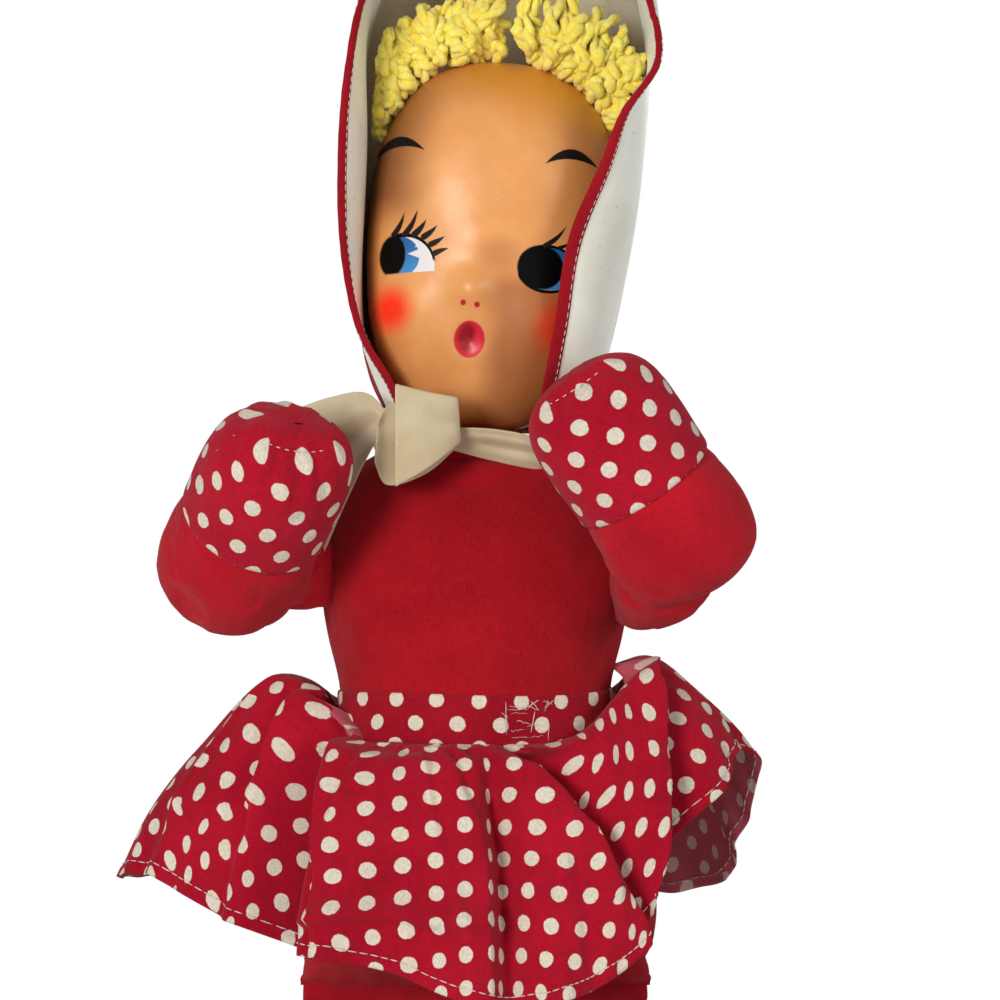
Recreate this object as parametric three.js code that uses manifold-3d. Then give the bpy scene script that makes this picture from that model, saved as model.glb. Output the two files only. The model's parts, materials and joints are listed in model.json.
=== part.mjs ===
// A stuffed cloth doll with a moulded face, a tied hood, raised mittened hands and a short
// gathered skirt. Sizes are in millimetres. The doll faces -Y and stands on Z = 0, and left
// and right are its own, so its left hand is on +X.

import * as THREE from 'three';
import { mergeVertices } from 'three/addons/utils/BufferGeometryUtils.js';
import Module from 'manifold-3d';

const wasm = await Module();
wasm.setup();

// Fits and walls
const gap = 0.3; // between pieces that touch
const clothWall = 1.2; // sewn cotton with its seam allowance
const oilclothWall = 1; // the hood's brim and the ties
const maskWall = 1.4; // the moulded face
const seatRoom = 0.8; // free room at the neck, where the head turns and nods
const overshoot = 5; // how far a cutting form runs past what it cuts
const thinnest = 0.5; // half of the least hollow that a cover keeps along a flat seam

// Legs and feet
const legLength = 165; // sole to hip seam
const legSpacing = 66; // between the two leg centres
const thighWidth = 62;
const thighDepth = 60;
const ankleWidth = 49;
const hipSeamWidth = 54;
const seamThickness = 2 * clothWall; // a limb's flat sewn end
const bootTop = 62; // height of the seam where the dotted cloth starts
const footLength = 92;
const heelReach = 27; // from the leg's centre back to the heel
const footWidth = 50;
const footHeight = 41;
const soleCut = 0.5; // depth of the flat under each foot

// Torso
const torsoLength = 201; // hip seam to neck opening
const hipWidth = 132;
const hipDepth = 76;
const waistWidth = 100;
const waistDepth = 70;
const chestWidth = 114;
const chestDepth = 78;
const shoulderWidth = 98;
const shoulderDepth = 62;
const collarWidth = 56;
const collarDepth = 50;

// Waistband and skirt
const bandHeight = 18.5;
const bandWall = 1.6;
const bandBelowNeck = 109; // from the neck opening down to the band's lower edge
const skirtWall = 1.4;
const skirtHalfWidth = 129; // at its widest, on the doll's right
const skirtForward = 74; // how far the hem hangs in front of the waist's centre
const skirtDrop = 87; // from the waist seam down to the hem's lowest point
const skirtPuff = 35; // how far the cloth rises above the waist seam at the sides
const foldDepth = 5;
const foldCount = 9;

// Neck and head
const neckRadius = 21;
const neckRise = 11.2; // from the nodding centre up to the flat under the head
const headRoll = 4.5; // degrees that the head leans to its left
const faceWidth = 92.6;
const faceAbove = 60.2; // from the face's widest level to its top
const faceBelow = 75.9; // from the same level to its bottom
const faceBulge = 41;
const faceBack = 4; // how far the mask's rim lies in front of the neck's centre
const skullDepth = 53; // from the mask's rim to the back of the head

// Hood
const hoodHalfWidth = 53;
const hoodHeight = 203; // from the neck edge to the peak
const hoodNeckHalfWidth = 31;
const hoodDepth = 53; // from the brim seam to the back
const brimSeam = 1; // how far the brim's seam lies behind the neck's centre
const bindingWidth = 3.4;
const bindingWall = 2.6;
const bindingSeat = 1.1; // between the binding and the brim's cut edge

// Hair
const hairRadius = 15;
const hairRise = 6; // how far a clump's middle lies above the face's rim, at the top

// Arms
const armLength = 91;
const armWidth = 54;
const mittWidth = 52;
const mittLength = 52; // from its seam to its end
const shoulderSeam = 40; // height of the flat seam that joins an arm to the torso
const shoulderForward = 12; // how far that seam lies in front of the torso's centre
const shoulderBelowNeck = 49;

const neckHeight = legLength + torsoLength;
const waistSeamHeight = neckHeight - bandBelowNeck;
const neckPivotHeight = neckHeight - 6;

const colours = {
  redCotton: { color: 0xb0162a, roughness: 0.85, metalness: 0 },
  dottedCotton: { color: 0xc23a44, roughness: 0.85, metalness: 0 },
  oilcloth: { color: 0xd9d3bd, roughness: 0.4, metalness: 0 },
  tape: { color: 0xa31d26, roughness: 0.8, metalness: 0 },
  mouldedFace: { color: 0xe4a261, roughness: 0.25, metalness: 0 },
  yarn: { color: 0xecca37, roughness: 0.95, metalness: 0 },
  stuffing: { color: 0xd8cfc0, roughness: 1, metalness: 0 },
};

// Solids

function toSolid(geometry) {
  const bare = geometry.clone();
  bare.deleteAttribute('normal');
  bare.deleteAttribute('uv');
  const merged = mergeVertices(bare);
  return new wasm.Manifold(new wasm.Mesh({
    numProp: 3,
    vertProperties: new Float32Array(merged.getAttribute('position').array),
    triVerts: new Uint32Array(merged.getIndex().array),
  }));
}

function toGeometry(solid) {
  const mesh = solid.getMesh();
  const geometry = new THREE.BufferGeometry();
  geometry.setAttribute('position', new THREE.BufferAttribute(new Float32Array(mesh.vertProperties), 3));
  geometry.setIndex(new THREE.BufferAttribute(new Uint32Array(mesh.triVerts), 1));
  geometry.computeVertexNormals();
  return geometry;
}

// A box between two corners, for cutting
function block(low, high) {
  const size = new THREE.Vector3().subVectors(high, low);
  const geometry = new THREE.BoxGeometry(size.x, size.y, size.z);
  geometry.translate((low.x + high.x) / 2, (low.y + high.y) / 2, (low.z + high.z) / 2);
  return toSolid(geometry);
}

function signedVolume(points, triangles) {
  const [a, b, c] = [new THREE.Vector3(), new THREE.Vector3(), new THREE.Vector3()];
  let volume = 0;
  for (let i = 0; i < triangles.length; i += 3) {
    a.copy(points[triangles[i]]);
    b.copy(points[triangles[i + 1]]);
    c.copy(points[triangles[i + 2]]);
    volume += a.dot(b.cross(c)) / 6;
  }
  return volume;
}

function closedGeometry(points, triangles) {
  if (signedVolume(points, triangles) < 0) triangles.reverse();
  const geometry = new THREE.BufferGeometry().setFromPoints(points);
  geometry.setIndex(triangles);
  return geometry;
}

// A closed form through rings of equally many points, with a point in the middle of each end
function loft(rings) {
  const sides = rings[0].length;
  const points = rings.flat();
  const triangles = [];
  for (let row = 0; row + 1 < rings.length; row++) {
    for (let i = 0; i < sides; i++) {
      const a = row * sides + i;
      const b = row * sides + ((i + 1) % sides);
      triangles.push(a, b, b + sides, a, b + sides, a + sides);
    }
  }
  const middle = (ring) => ring.reduce((sum, p) => sum.add(p), new THREE.Vector3()).divideScalar(sides);
  const first = points.push(middle(rings[0])) - 1;
  const last = points.push(middle(rings[rings.length - 1])) - 1;
  const lastRow = (rings.length - 1) * sides;
  for (let i = 0; i < sides; i++) {
    const next = (i + 1) % sides;
    triangles.push(first, next, i);
    triangles.push(last, lastRow + i, lastRow + next);
  }
  return toSolid(closedGeometry(points, triangles));
}

// A size of an outer form, drawn in, or let out below 0. However far in, a thin core is left
function drawnIn(size, inset) {
  return inset > 0 ? Math.max(size - inset, (thinnest * clothWall) / inset) : size - inset;
}

// One ring of a loft: a circle drawn out to two half sizes, and fuller than an ellipse above 2
function ring(centre, wide, thin, halfWide, halfThin, sides, fullness = 2) {
  const points = [];
  for (let i = 0; i < sides; i++) {
    const angle = (2 * Math.PI * i) / sides;
    const c = Math.cos(angle);
    const s = Math.sin(angle);
    const x = halfWide * Math.sign(c) * Math.abs(c) ** (2 / fullness);
    const y = halfThin * Math.sign(s) * Math.abs(s) ** (2 / fullness);
    points.push(centre.clone().addScaledVector(wide, x).addScaledVector(thin, y));
  }
  return points;
}

// Rings along a straight axis. Each station gives a half width, a half thickness and a
// distance along the axis, and a smooth curve runs through them. An open start runs on past
// the first station, so that a hollow cut with it has a mouth there
function stuffedLimb({ start, axis, wide, stations, inset, sides, steps, openStart = false }) {
  const thin = new THREE.Vector3().crossVectors(axis, wide).normalize();
  const across = new THREE.Vector3().crossVectors(thin, axis).normalize();
  const curve = new THREE.CatmullRomCurve3(stations.map((s) => new THREE.Vector3(...s)), false, 'centripetal');
  const rings = curve.getPoints(steps).map((p) => ring(
    start.clone().addScaledVector(axis, p.z),
    across,
    thin,
    drawnIn(p.x, inset),
    drawnIn(p.y, inset),
    sides,
  ));
  if (openStart) rings.unshift(rings[0].map((p) => p.clone().addScaledVector(axis, -overshoot)));
  return loft(rings);
}

// A sheet of even thickness over a grid of points, closed round its edges. A sheet that is
// joined round has its last column next to its first
function sheet(grid, thickness, joinedRound = false) {
  const rows = grid.length;
  const columns = grid[0].length;
  const at = (r, c) => {
    const column = joinedRound ? (c + columns) % columns : THREE.MathUtils.clamp(c, 0, columns - 1);
    return grid[THREE.MathUtils.clamp(r, 0, rows - 1)][column];
  };
  const points = [];
  for (const side of [0.5, -0.5]) {
    for (let r = 0; r < rows; r++) {
      for (let c = 0; c < columns; c++) {
        const along = new THREE.Vector3().subVectors(at(r + 1, c), at(r - 1, c));
        const across = new THREE.Vector3().subVectors(at(r, c + 1), at(r, c - 1));
        const normal = along.cross(across).normalize();
        points.push(at(r, c).clone().addScaledVector(normal, side * thickness));
      }
    }
  }
  const back = rows * columns;
  const triangles = [];
  const quad = (a, b, c, d) => triangles.push(a, b, c, a, c, d);
  const lastColumn = joinedRound ? columns : columns - 1;
  for (let r = 0; r + 1 < rows; r++) {
    for (let c = 0; c < lastColumn; c++) {
      const next = (c + 1) % columns;
      const [a, b] = [r * columns + c, r * columns + next];
      const [d, e] = [a + columns, b + columns];
      quad(a, b, e, d);
      quad(back + b, back + a, back + d, back + e);
    }
    if (!joinedRound) {
      const [a, d] = [r * columns, (r + 1) * columns];
      const end = columns - 1;
      quad(a, d, back + d, back + a);
      quad(d + end, a + end, back + a + end, back + d + end);
    }
  }
  for (let c = 0; c < lastColumn; c++) {
    const next = (c + 1) % columns;
    const low = (rows - 1) * columns;
    quad(next, c, back + c, back + next);
    quad(low + c, low + next, back + low + next, back + low + c);
  }
  return toSolid(closedGeometry(points, triangles));
}

// Torso

const torsoSides = 18;
const torsoRows = 11;
const hipSeatRadius = seamThickness / 2 + gap;
const torsoShape = new THREE.CatmullRomCurve3([
  new THREE.Vector3(hipWidth / 2 - 3, seamThickness / 2, legLength + gap),
  new THREE.Vector3(hipWidth / 2, hipDepth * 0.3, legLength + 12),
  new THREE.Vector3(hipWidth / 2, hipDepth / 2, legLength + 40),
  new THREE.Vector3(waistWidth / 2, waistDepth / 2, waistSeamHeight + bandHeight / 2),
  new THREE.Vector3(chestWidth / 2, chestDepth / 2, neckHeight - 50),
  new THREE.Vector3(shoulderWidth / 2, shoulderDepth / 2, neckHeight - 16),
  new THREE.Vector3(collarWidth / 2, collarDepth / 2, neckHeight),
], false, 'centripetal');

const X = new THREE.Vector3(1, 0, 0);
const Y = new THREE.Vector3(0, 1, 0);
const Z = new THREE.Vector3(0, 0, 1);

function torsoForm(inset) {
  const rings = torsoShape.getPoints(torsoRows).map((p) => ring(
    new THREE.Vector3(0, 0, p.z),
    X,
    Y,
    drawnIn(p.x, inset),
    drawnIn(p.y, inset),
    torsoSides,
  ));
  return loft(rings);
}

// The torso's half width and half depth at one height
function torsoAt(height) {
  const points = torsoShape.getPoints(200);
  const nearest = points.reduce((best, p) => (Math.abs(p.z - height) < Math.abs(best.z - height) ? p : best));
  return { halfWidth: nearest.x, halfDepth: nearest.y };
}

const neckPivot = new THREE.Vector3(0, 0, neckPivotHeight);

function neckBall(room) {
  const geometry = new THREE.SphereGeometry(neckRadius + room, 20, 12);
  geometry.rotateX(Math.PI / 2);
  geometry.translate(neckPivot.x, neckPivot.y, neckPivot.z);
  return toSolid(geometry);
}

// The groove along the hip seam in which the legs' flat ends turn
function hipGroove() {
  const geometry = new THREE.CylinderGeometry(hipSeatRadius, hipSeatRadius, hipWidth + overshoot, 16);
  geometry.rotateZ(Math.PI / 2);
  geometry.translate(0, 0, legLength);
  return toSolid(geometry);
}

function torsoCover() {
  const shell = torsoForm(0).subtract(torsoForm(clothWall));
  return shell.subtract(neckBall(seatRoom)).subtract(hipGroove());
}

function torsoStuffing() {
  return torsoForm(clothWall + gap).subtract(neckBall(seatRoom)).subtract(hipGroove());
}

function waistband() {
  const reach = chestWidth;
  const slab = block(
    new THREE.Vector3(-reach, -reach, waistSeamHeight + gap),
    new THREE.Vector3(reach, reach, waistSeamHeight + bandHeight),
  );
  return torsoForm(-gap - bandWall).intersect(slab).subtract(torsoForm(-gap));
}

// Skirt: gathered to the waistband's lower edge. It puffs up at the sides before it falls

// Round the skirt from the front by the doll's left: where the hem hangs, from the centre of
// the waist seam, and how far the cloth stands above that seam on its way there, as shares of
// the skirt's sizes. The hem is turned up on the doll's left, where the skirt stands open
const skirtStations = [
  { hem: [0.039, -1.000, -1.000], puff: 0.000 },
  { hem: [0.264, -0.959, -0.966], puff: 0.029 },
  { hem: [0.419, -0.824, -0.839], puff: 0.229 },
  { hem: [0.550, -0.635, -0.552], puff: 0.629 },
  { hem: [0.682, -0.351, -0.195], puff: 0.943 },
  { hem: [0.783, 0.027, -0.011], puff: 1.000 },
  { hem: [0.791, 0.351, -0.391], puff: 0.771 },
  { hem: [0.744, 0.649, -0.667], puff: 0.400 },
  { hem: [0.426, 0.865, -0.759], puff: 0.171 },
  { hem: [0.000, 0.946, -0.805], puff: 0.086 },
  { hem: [-0.349, 0.919, -0.782], puff: 0.171 },
  { hem: [-0.651, 0.757, -0.713], puff: 0.343 },
  { hem: [-0.884, 0.459, -0.609], puff: 0.629 },
  { hem: [-1.000, 0.054, -0.506], puff: 0.857 },
  { hem: [-0.915, -0.324, -0.529], puff: 0.829 },
  { hem: [-0.713, -0.622, -0.678], puff: 0.429 },
  { hem: [-0.504, -0.838, -0.793], puff: 0.057 },
  { hem: [-0.240, -0.946, -0.851], puff: 0.000 },
];
const hemLine = new THREE.CatmullRomCurve3(skirtStations.map(({ hem: [across, back, up] }) => new THREE.Vector3(
  across * skirtHalfWidth,
  back * skirtForward,
  up * skirtDrop,
)), true);
const puffLine = new THREE.CatmullRomCurve3(skirtStations.map((s) => new THREE.Vector3(0, 0, s.puff * skirtPuff)), true);

// round runs once about the waist from the front; share runs from the seam to the hem
function skirtPoint(round, share) {
  const turn = 2 * Math.PI * round;
  const out = new THREE.Vector3(Math.sin(turn), -Math.cos(turn), 0);
  const waist = torsoAt(waistSeamHeight);
  const seamOut = gap + skirtWall;
  const seam = new THREE.Vector3((waist.halfWidth + seamOut) * out.x, (waist.halfDepth + seamOut) * out.y, 0);
  const hem = hemLine.getPoint(round);
  const puff = puffLine.getPoint(round).z;
  const way = (part, height) => seam.clone().lerp(hem, part).setZ(height);
  const profile = new THREE.CatmullRomCurve3([
    seam,
    way(0.07, 0),
    way(0.3, THREE.MathUtils.lerp(puff, hem.z, 0.1)),
    way(0.62, THREE.MathUtils.lerp(puff, hem.z, 0.38)),
    way(0.86, THREE.MathUtils.lerp(puff, hem.z, 0.7)),
    hem,
  ]);
  const fold = foldDepth * Math.cos(foldCount * turn) * share;
  const lift = new THREE.Vector3(0, 0, waistSeamHeight - skirtWall + fold * 0.25);
  return profile.getPoint(share).addScaledVector(out, fold).add(lift);
}

function skirt() {
  const columns = 54;
  const rows = 6;
  const grid = [];
  for (let r = 0; r <= rows; r++) {
    const line = [];
    for (let c = 0; c < columns; c++) line.push(skirtPoint(c / columns, r / rows));
    grid.push(line);
  }
  return sheet(grid, skirtWall, true);
}

// Legs, built about the middle of the hip seam

const legSides = 12;

function legForm(inset, openStart = false) {
  const half = (size) => size / 2;
  const tube = stuffedLimb({
    start: new THREE.Vector3(0, 0, -gap),
    axis: new THREE.Vector3(0, 0, -1),
    wide: X,
    stations: [
      [half(hipSeamWidth), half(seamThickness), 0],
      [half(hipSeamWidth) + 3, half(thighDepth) * 0.5, 12],
      [half(thighWidth), half(thighDepth) * 0.93, 34],
      [half(thighWidth), half(thighDepth), 60],
      [half(ankleWidth) + 2, half(ankleWidth) + 2, legLength - bootTop],
      [half(ankleWidth), half(ankleWidth), legLength - footHeight],
      [half(ankleWidth) * 0.7, half(ankleWidth) * 0.7, legLength - footHeight * 0.4],
    ],
    inset,
    sides: legSides,
    steps: 8,
    openStart,
  });
  const toe = footLength - heelReach;
  const foot = stuffedFoot(toe, inset);
  return tube.add(foot).subtract(block(
    new THREE.Vector3(-footLength, -footLength, -legLength - footHeight),
    new THREE.Vector3(footLength, footLength, -legLength + inset),
  ));
}

function stuffedFoot(toe, inset) {
  const shape = new THREE.CatmullRomCurve3([
    new THREE.Vector3(footWidth * 0.2, footHeight * 0.25, heelReach),
    new THREE.Vector3(footWidth * 0.4, footHeight * 0.42, heelReach * 0.8),
    new THREE.Vector3(footWidth * 0.48, footHeight * 0.5, heelReach * 0.2),
    new THREE.Vector3(footWidth * 0.5, footHeight * 0.46, -toe * 0.5),
    new THREE.Vector3(footWidth * 0.44, footHeight * 0.36, -toe * 0.85),
    new THREE.Vector3(footWidth * 0.2, footHeight * 0.2, -toe),
  ], false, 'centripetal');
  const rings = shape.getPoints(7).map((p) => ring(
    new THREE.Vector3(0, p.z - Math.sign(p.z) * inset * 0.5, -legLength - soleCut + p.y),
    X,
    Z,
    p.x - inset,
    p.y - inset,
    legSides,
    2.8,
  ));
  return loft(rings);
}

// The half of a leg above or below the boot's seam
function legSlab(above) {
  const seam = bootTop - legLength;
  const reach = footLength;
  return block(
    new THREE.Vector3(-reach, -reach, above ? seam + gap : -legLength - overshoot),
    new THREE.Vector3(reach, reach, above ? overshoot : seam),
  );
}

function legShell() {
  return legForm(0).subtract(legForm(clothWall, true));
}

function legStuffing() {
  return legForm(clothWall + gap);
}

// Arms, built about the middle of the shoulder seam. Each rises from its elbow to its mitt

const armSides = 12;
const elbowReach = 20; // from an arm's lower end to its thickest part
const seatOut = seamThickness / 2 + gap;

function shoulderAt(side) {
  const height = neckHeight - shoulderBelowNeck;
  const torso = torsoAt(height);
  const share = shoulderForward / torso.halfDepth;
  const surface = torso.halfWidth * Math.sqrt(1 - share * share) * Math.cos(Math.PI / torsoSides);
  const out = surface + seatOut;
  return new THREE.Vector3(side * out, -shoulderForward, height);
}

// Elbow and mitt end of each arm from its shoulder seam, and the line of the mitt's end seam
const armPoses = {
  left: {
    side: 1,
    elbow: new THREE.Vector3(26, -30, -2),
    mittEnd: new THREE.Vector3(-17, -50, 73),
    endSeam: new THREE.Vector3(0.86, 0, 0.51),
  },
  right: {
    side: -1,
    elbow: new THREE.Vector3(-37, -10, -10),
    mittEnd: new THREE.Vector3(-4, -66, 53),
    endSeam: new THREE.Vector3(1, 0, -0.06),
  },
};

function armForm(pose, inset, openStart = false) {
  const axis = new THREE.Vector3().subVectors(pose.mittEnd, pose.elbow).normalize();
  const half = (size) => size / 2;
  const forearm = stuffedLimb({
    start: pose.elbow,
    axis,
    wide: pose.endSeam,
    stations: [
      [half(armWidth) * 0.5, half(armWidth) * 0.5, inset],
      [half(armWidth) * 0.85, half(armWidth) * 0.85, 6],
      [half(armWidth), half(armWidth), elbowReach],
      [half(armWidth) * 0.97, half(armWidth) * 0.97, armLength - mittLength],
      [half(mittWidth), half(mittWidth) * 0.88, armLength - 24],
      [half(mittWidth) * 0.9, half(mittWidth) * 0.5, armLength - 8],
      [half(mittWidth) * 0.7, half(seamThickness), armLength - inset],
    ],
    inset,
    sides: armSides,
    steps: 9,
  });
  const middle = pose.elbow.clone().addScaledVector(axis, elbowReach);
  const rootAxis = middle.clone().setZ(0).normalize();
  const rootReach = Math.hypot(middle.x, middle.y);
  const root = stuffedLimb({
    start: new THREE.Vector3(0, 0, 0),
    axis: rootAxis,
    wide: Z,
    stations: [
      [half(shoulderSeam), half(seamThickness), 0],
      [half(shoulderSeam) * 0.98, half(armWidth) * 0.3, rootReach * 0.3],
      [half(shoulderSeam) * 0.88, half(armWidth) * 0.6, rootReach * 0.65],
      [half(shoulderSeam) * 0.7, half(armWidth) * 0.5, rootReach - inset],
    ],
    inset,
    sides: armSides,
    steps: 5,
    openStart,
  });
  return forearm.add(root);
}

// A block on one side of the mitt's seam plane, for cutting
function armSlab(pose, beyondSeam) {
  const axis = new THREE.Vector3().subVectors(pose.mittEnd, pose.elbow).normalize();
  const depth = armLength * 2;
  const geometry = new THREE.BoxGeometry(depth, depth, depth);
  const seam = armLength - mittLength;
  const middle = beyondSeam ? seam + gap + depth / 2 : seam - depth / 2;
  geometry.translate(0, 0, middle);
  const turn = new THREE.Quaternion().setFromUnitVectors(Z, axis);
  geometry.applyQuaternion(turn);
  geometry.translate(pose.elbow.x, pose.elbow.y, pose.elbow.z);
  return toSolid(geometry);
}

function armShell(pose) {
  return armForm(pose, 0).subtract(armForm(pose, clothWall, true));
}

function armStuffing(pose) {
  return armForm(pose, clothWall + gap);
}

// Head, built about the centre on which it nods, upright; its group leans

const faceMiddle = neckRise + gap + faceBelow;

// The face's outline is a full oval, higher below its widest level than above it
function faceRim(angle, inset) {
  const c = Math.cos(angle);
  const s = Math.sin(angle);
  const tall = (s > 0 ? faceAbove : faceBelow) - inset;
  const full = s > 0 ? 2.5 : 2.6;
  const wide = faceWidth / 2 - inset;
  return {
    x: wide * Math.sign(c) * Math.abs(c) ** (2 / full),
    z: tall * Math.sign(s) * Math.abs(s) ** (2 / full),
  };
}

// Round bumps and hollows of the face: place, radius and height, in millimetres
const faceFeatures = [
  { x: -6, z: -27, radius: 8.5, rise: 5 }, // nose
  { x: -5.2, z: -44, radius: 11, rise: 3.4 }, // lips
  { x: -5.2, z: -44.6, radius: 5.6, rise: -4.6 }, // open mouth
  { x: -4, z: -66, radius: 14, rise: 3 }, // chin
  { x: -31, z: -35, radius: 16, rise: 3 }, // cheeks
  { x: 21, z: -36, radius: 16, rise: 3 },
  { x: -30, z: -14, radius: 13, rise: -1.6 }, // eye hollows
  { x: 19, z: -15, radius: 13, rise: -1.6 },
];

function faceRelief(x, z) {
  return faceFeatures.reduce((sum, f) => {
    const away = ((x - f.x) ** 2 + (z - f.z) ** 2) / f.radius ** 2;
    return sum + f.rise * Math.exp(-away * 1.4);
  }, 0);
}

const headSides = 24;

function faceRings(inset) {
  const rows = 9;
  const rings = [];
  for (let r = 1; r <= rows; r++) {
    const share = r / rows;
    const line = [];
    for (let i = 0; i < headSides; i++) {
      const rim = faceRim((2 * Math.PI * i) / headSides, inset);
      const x = rim.x * share;
      const z = rim.z * share;
      const dome = (faceBulge - inset) * Math.sqrt(Math.max(0, 1 - share ** 2.4));
      const relief = faceRelief(x, z) * (1 - share ** 6);
      line.push(new THREE.Vector3(x, -faceBack - dome - relief, faceMiddle + z));
    }
    rings.push(line);
  }
  return rings;
}

// The back of the head: the mask's outline, drawn in as it goes back, least at the bottom
function skullRings(inset) {
  const rows = 6;
  const rings = [];
  for (let r = 0; r <= rows; r++) {
    const deep = Math.sin((Math.min(r / rows, 0.985) * Math.PI) / 2);
    const round = Math.sqrt(1 - deep ** 2);
    const square = Math.sqrt(1 - deep ** 5);
    const line = [];
    for (let i = 0; i < headSides; i++) {
      const rim = faceRim((2 * Math.PI * i) / headSides, inset);
      const tall = rim.z > 0 ? round : square * 0.6 + round * 0.4;
      const y = (skullDepth - inset) * deep - faceBack;
      line.push(new THREE.Vector3(rim.x * round, y, faceMiddle + rim.z * tall));
    }
    rings.push(line);
  }
  return rings;
}

function shifted(line, y) {
  return line.map((p) => p.clone().setY(p.y + y));
}

// The face's outer form, or its hollow, which runs out through the mask's rim
function faceForm(inset) {
  const rings = faceRings(inset);
  if (inset > 0) rings.push(shifted(rings[rings.length - 1], overshoot));
  return loft(rings);
}

function skullForm(inset) {
  const rings = skullRings(inset);
  if (inset > 0) rings.unshift(shifted(rings[0], -overshoot));
  return loft(rings);
}

function faceMask() {
  return faceForm(0).subtract(faceForm(maskWall));
}

function headBack() {
  const front = block(
    new THREE.Vector3(-faceWidth, -faceWidth, -faceWidth),
    new THREE.Vector3(faceWidth, gap - faceBack, 3 * faceWidth),
  );
  return skullForm(0).subtract(skullForm(clothWall)).subtract(front);
}

function headStuffing() {
  const inset = maskWall + gap;
  return loft([...faceRings(inset), ...skullRings(inset).slice(1)]);
}

function neck() {
  const profile = [new THREE.Vector2(0, -neckRadius)];
  const steps = 6;
  for (let i = 1; i <= steps; i++) {
    const angle = -Math.PI / 2 + (Math.PI / 2) * (i / steps);
    profile.push(new THREE.Vector2(neckRadius * Math.cos(angle), neckRadius * Math.sin(angle)));
  }
  profile.push(new THREE.Vector2(Math.sqrt(neckRadius ** 2 - neckRise ** 2), neckRise));
  profile.push(new THREE.Vector2(0, neckRise));
  const geometry = new THREE.LatheGeometry(profile, 20);
  geometry.rotateX(Math.PI / 2);
  return toSolid(geometry);
}

// Hood

const hoodBottom = 12; // its neck edge, above the centre on which the head nods
const hoodArch = new THREE.CatmullRomCurve3([
  new THREE.Vector3(hoodNeckHalfWidth, 0, hoodBottom),
  new THREE.Vector3(hoodHalfWidth * 0.8, 0, hoodBottom + hoodHeight * 0.09),
  new THREE.Vector3(hoodHalfWidth * 0.92, 0, hoodBottom + hoodHeight * 0.23),
  new THREE.Vector3(hoodHalfWidth, 0, hoodBottom + hoodHeight * 0.48),
  new THREE.Vector3(hoodHalfWidth * 0.97, 0, hoodBottom + hoodHeight * 0.73),
  new THREE.Vector3(hoodHalfWidth * 0.66, 0, hoodBottom + hoodHeight * 0.92),
  new THREE.Vector3(1.5, 0, hoodBottom + hoodHeight),
], false, 'centripetal');

function hoodForm(inset) {
  const rings = hoodArch.getPoints(10).map((p) => ring(
    new THREE.Vector3(0, brimSeam, p.z - (p.z > hoodBottom + hoodHeight / 2 ? inset : 0)),
    X,
    Y,
    drawnIn(p.x, inset),
    drawnIn((p.x * hoodDepth) / hoodHalfWidth, inset),
    24,
  ));
  if (inset > 0) rings.unshift(rings[0].map((p) => p.clone().setZ(p.z - overshoot)));
  return loft(rings);
}

function hoodCrown() {
  const reach = hoodHeight * 2;
  const front = block(
    new THREE.Vector3(-reach, -reach, -reach),
    new THREE.Vector3(reach, brimSeam + gap, reach),
  );
  return hoodForm(0).subtract(hoodForm(clothWall)).subtract(front);
}

// The brim's outer edge, from the doll's right jaw over the top to its left jaw, where the
// brim curls in across the cheek
// Each point in shares of the hood's half width, depth and height
const brimEdgeShares = [
  [-0.434, 0.585, -0.020],
  [-0.585, 0.623, 0.059],
  [-0.849, 0.679, 0.158],
  [-1.000, 0.792, 0.296],
  [-1.057, 0.906, 0.448],
  [-1.057, 0.943, 0.586],
  [-0.981, 0.906, 0.739],
  [-0.679, 0.792, 0.916],
  [0.038, 0.717, 1.015],
  [0.679, 0.679, 0.916],
  [0.962, 0.717, 0.759],
  [1.019, 0.792, 0.660],
  [0.811, 0.925, 0.567],
  [0.698, 0.962, 0.473],
  [0.528, 0.943, 0.345],
  [0.472, 0.868, 0.182],
  [0.415, 0.679, 0.054],
  [0.377, 0.566, -0.020],
];
const brimEdge = new THREE.CatmullRomCurve3(brimEdgeShares.map(([across, forward, up]) => new THREE.Vector3(
  across * hoodHalfWidth,
  -forward * hoodDepth,
  hoodBottom + up * hoodHeight,
)), false, 'centripetal');

function brimSeamPoint(share) {
  const along = 1 - Math.abs(2 * share - 1);
  const arch = hoodArch.getPoint(along);
  const side = share < 0.5 ? -1 : 1;
  return new THREE.Vector3(side * (arch.x - clothWall / 2), brimSeam - gap, arch.z);
}

const brimStations = 36;
const brimSwell = 2; // how far the brim bulges out between its seam and its edge

// One cut through the brim: its seam, the bulge between, and its outer edge
function brimCurve(share) {
  const seam = brimSeamPoint(share);
  const edge = brimEdge.getPoint(share);
  const side = share < 0.5 ? -1 : 1;
  const over = Math.max(Math.abs(seam.x), Math.abs(edge.x)) + brimSwell;
  const bulge = new THREE.Vector3(
    side * over,
    edge.y * 0.72,
    (seam.z + edge.z) / 2 + (share > 0.4 && share < 0.6 ? 3 : 0),
  );
  if (share > 0.4 && share < 0.6) bulge.x = (seam.x + edge.x) / 2;
  return new THREE.QuadraticBezierCurve3(seam, bulge, edge);
}

function brimGrid(from, to, rows) {
  const grid = [];
  for (let r = 0; r <= rows; r++) {
    const line = [];
    for (let c = 0; c <= brimStations; c++) {
      const curve = brimCurve(c / brimStations);
      const length = curve.getLength();
      const start = from < 0 ? 1 + from / length : from / length;
      const end = to <= 0 ? 1 + to / length : to / length;
      line.push(curve.getPointAt(THREE.MathUtils.lerp(start, end, r / rows)));
    }
    grid.push(line);
  }
  return grid;
}

function hoodBrim() {
  return sheet(brimGrid(0, -bindingWidth - bindingSeat, 4), oilclothWall);
}

function hoodBinding() {
  return sheet(brimGrid(-bindingWidth, 0, 1), bindingWall);
}

// Hair: two thick clumps of yarn round the top of the face, parted near the middle

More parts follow.
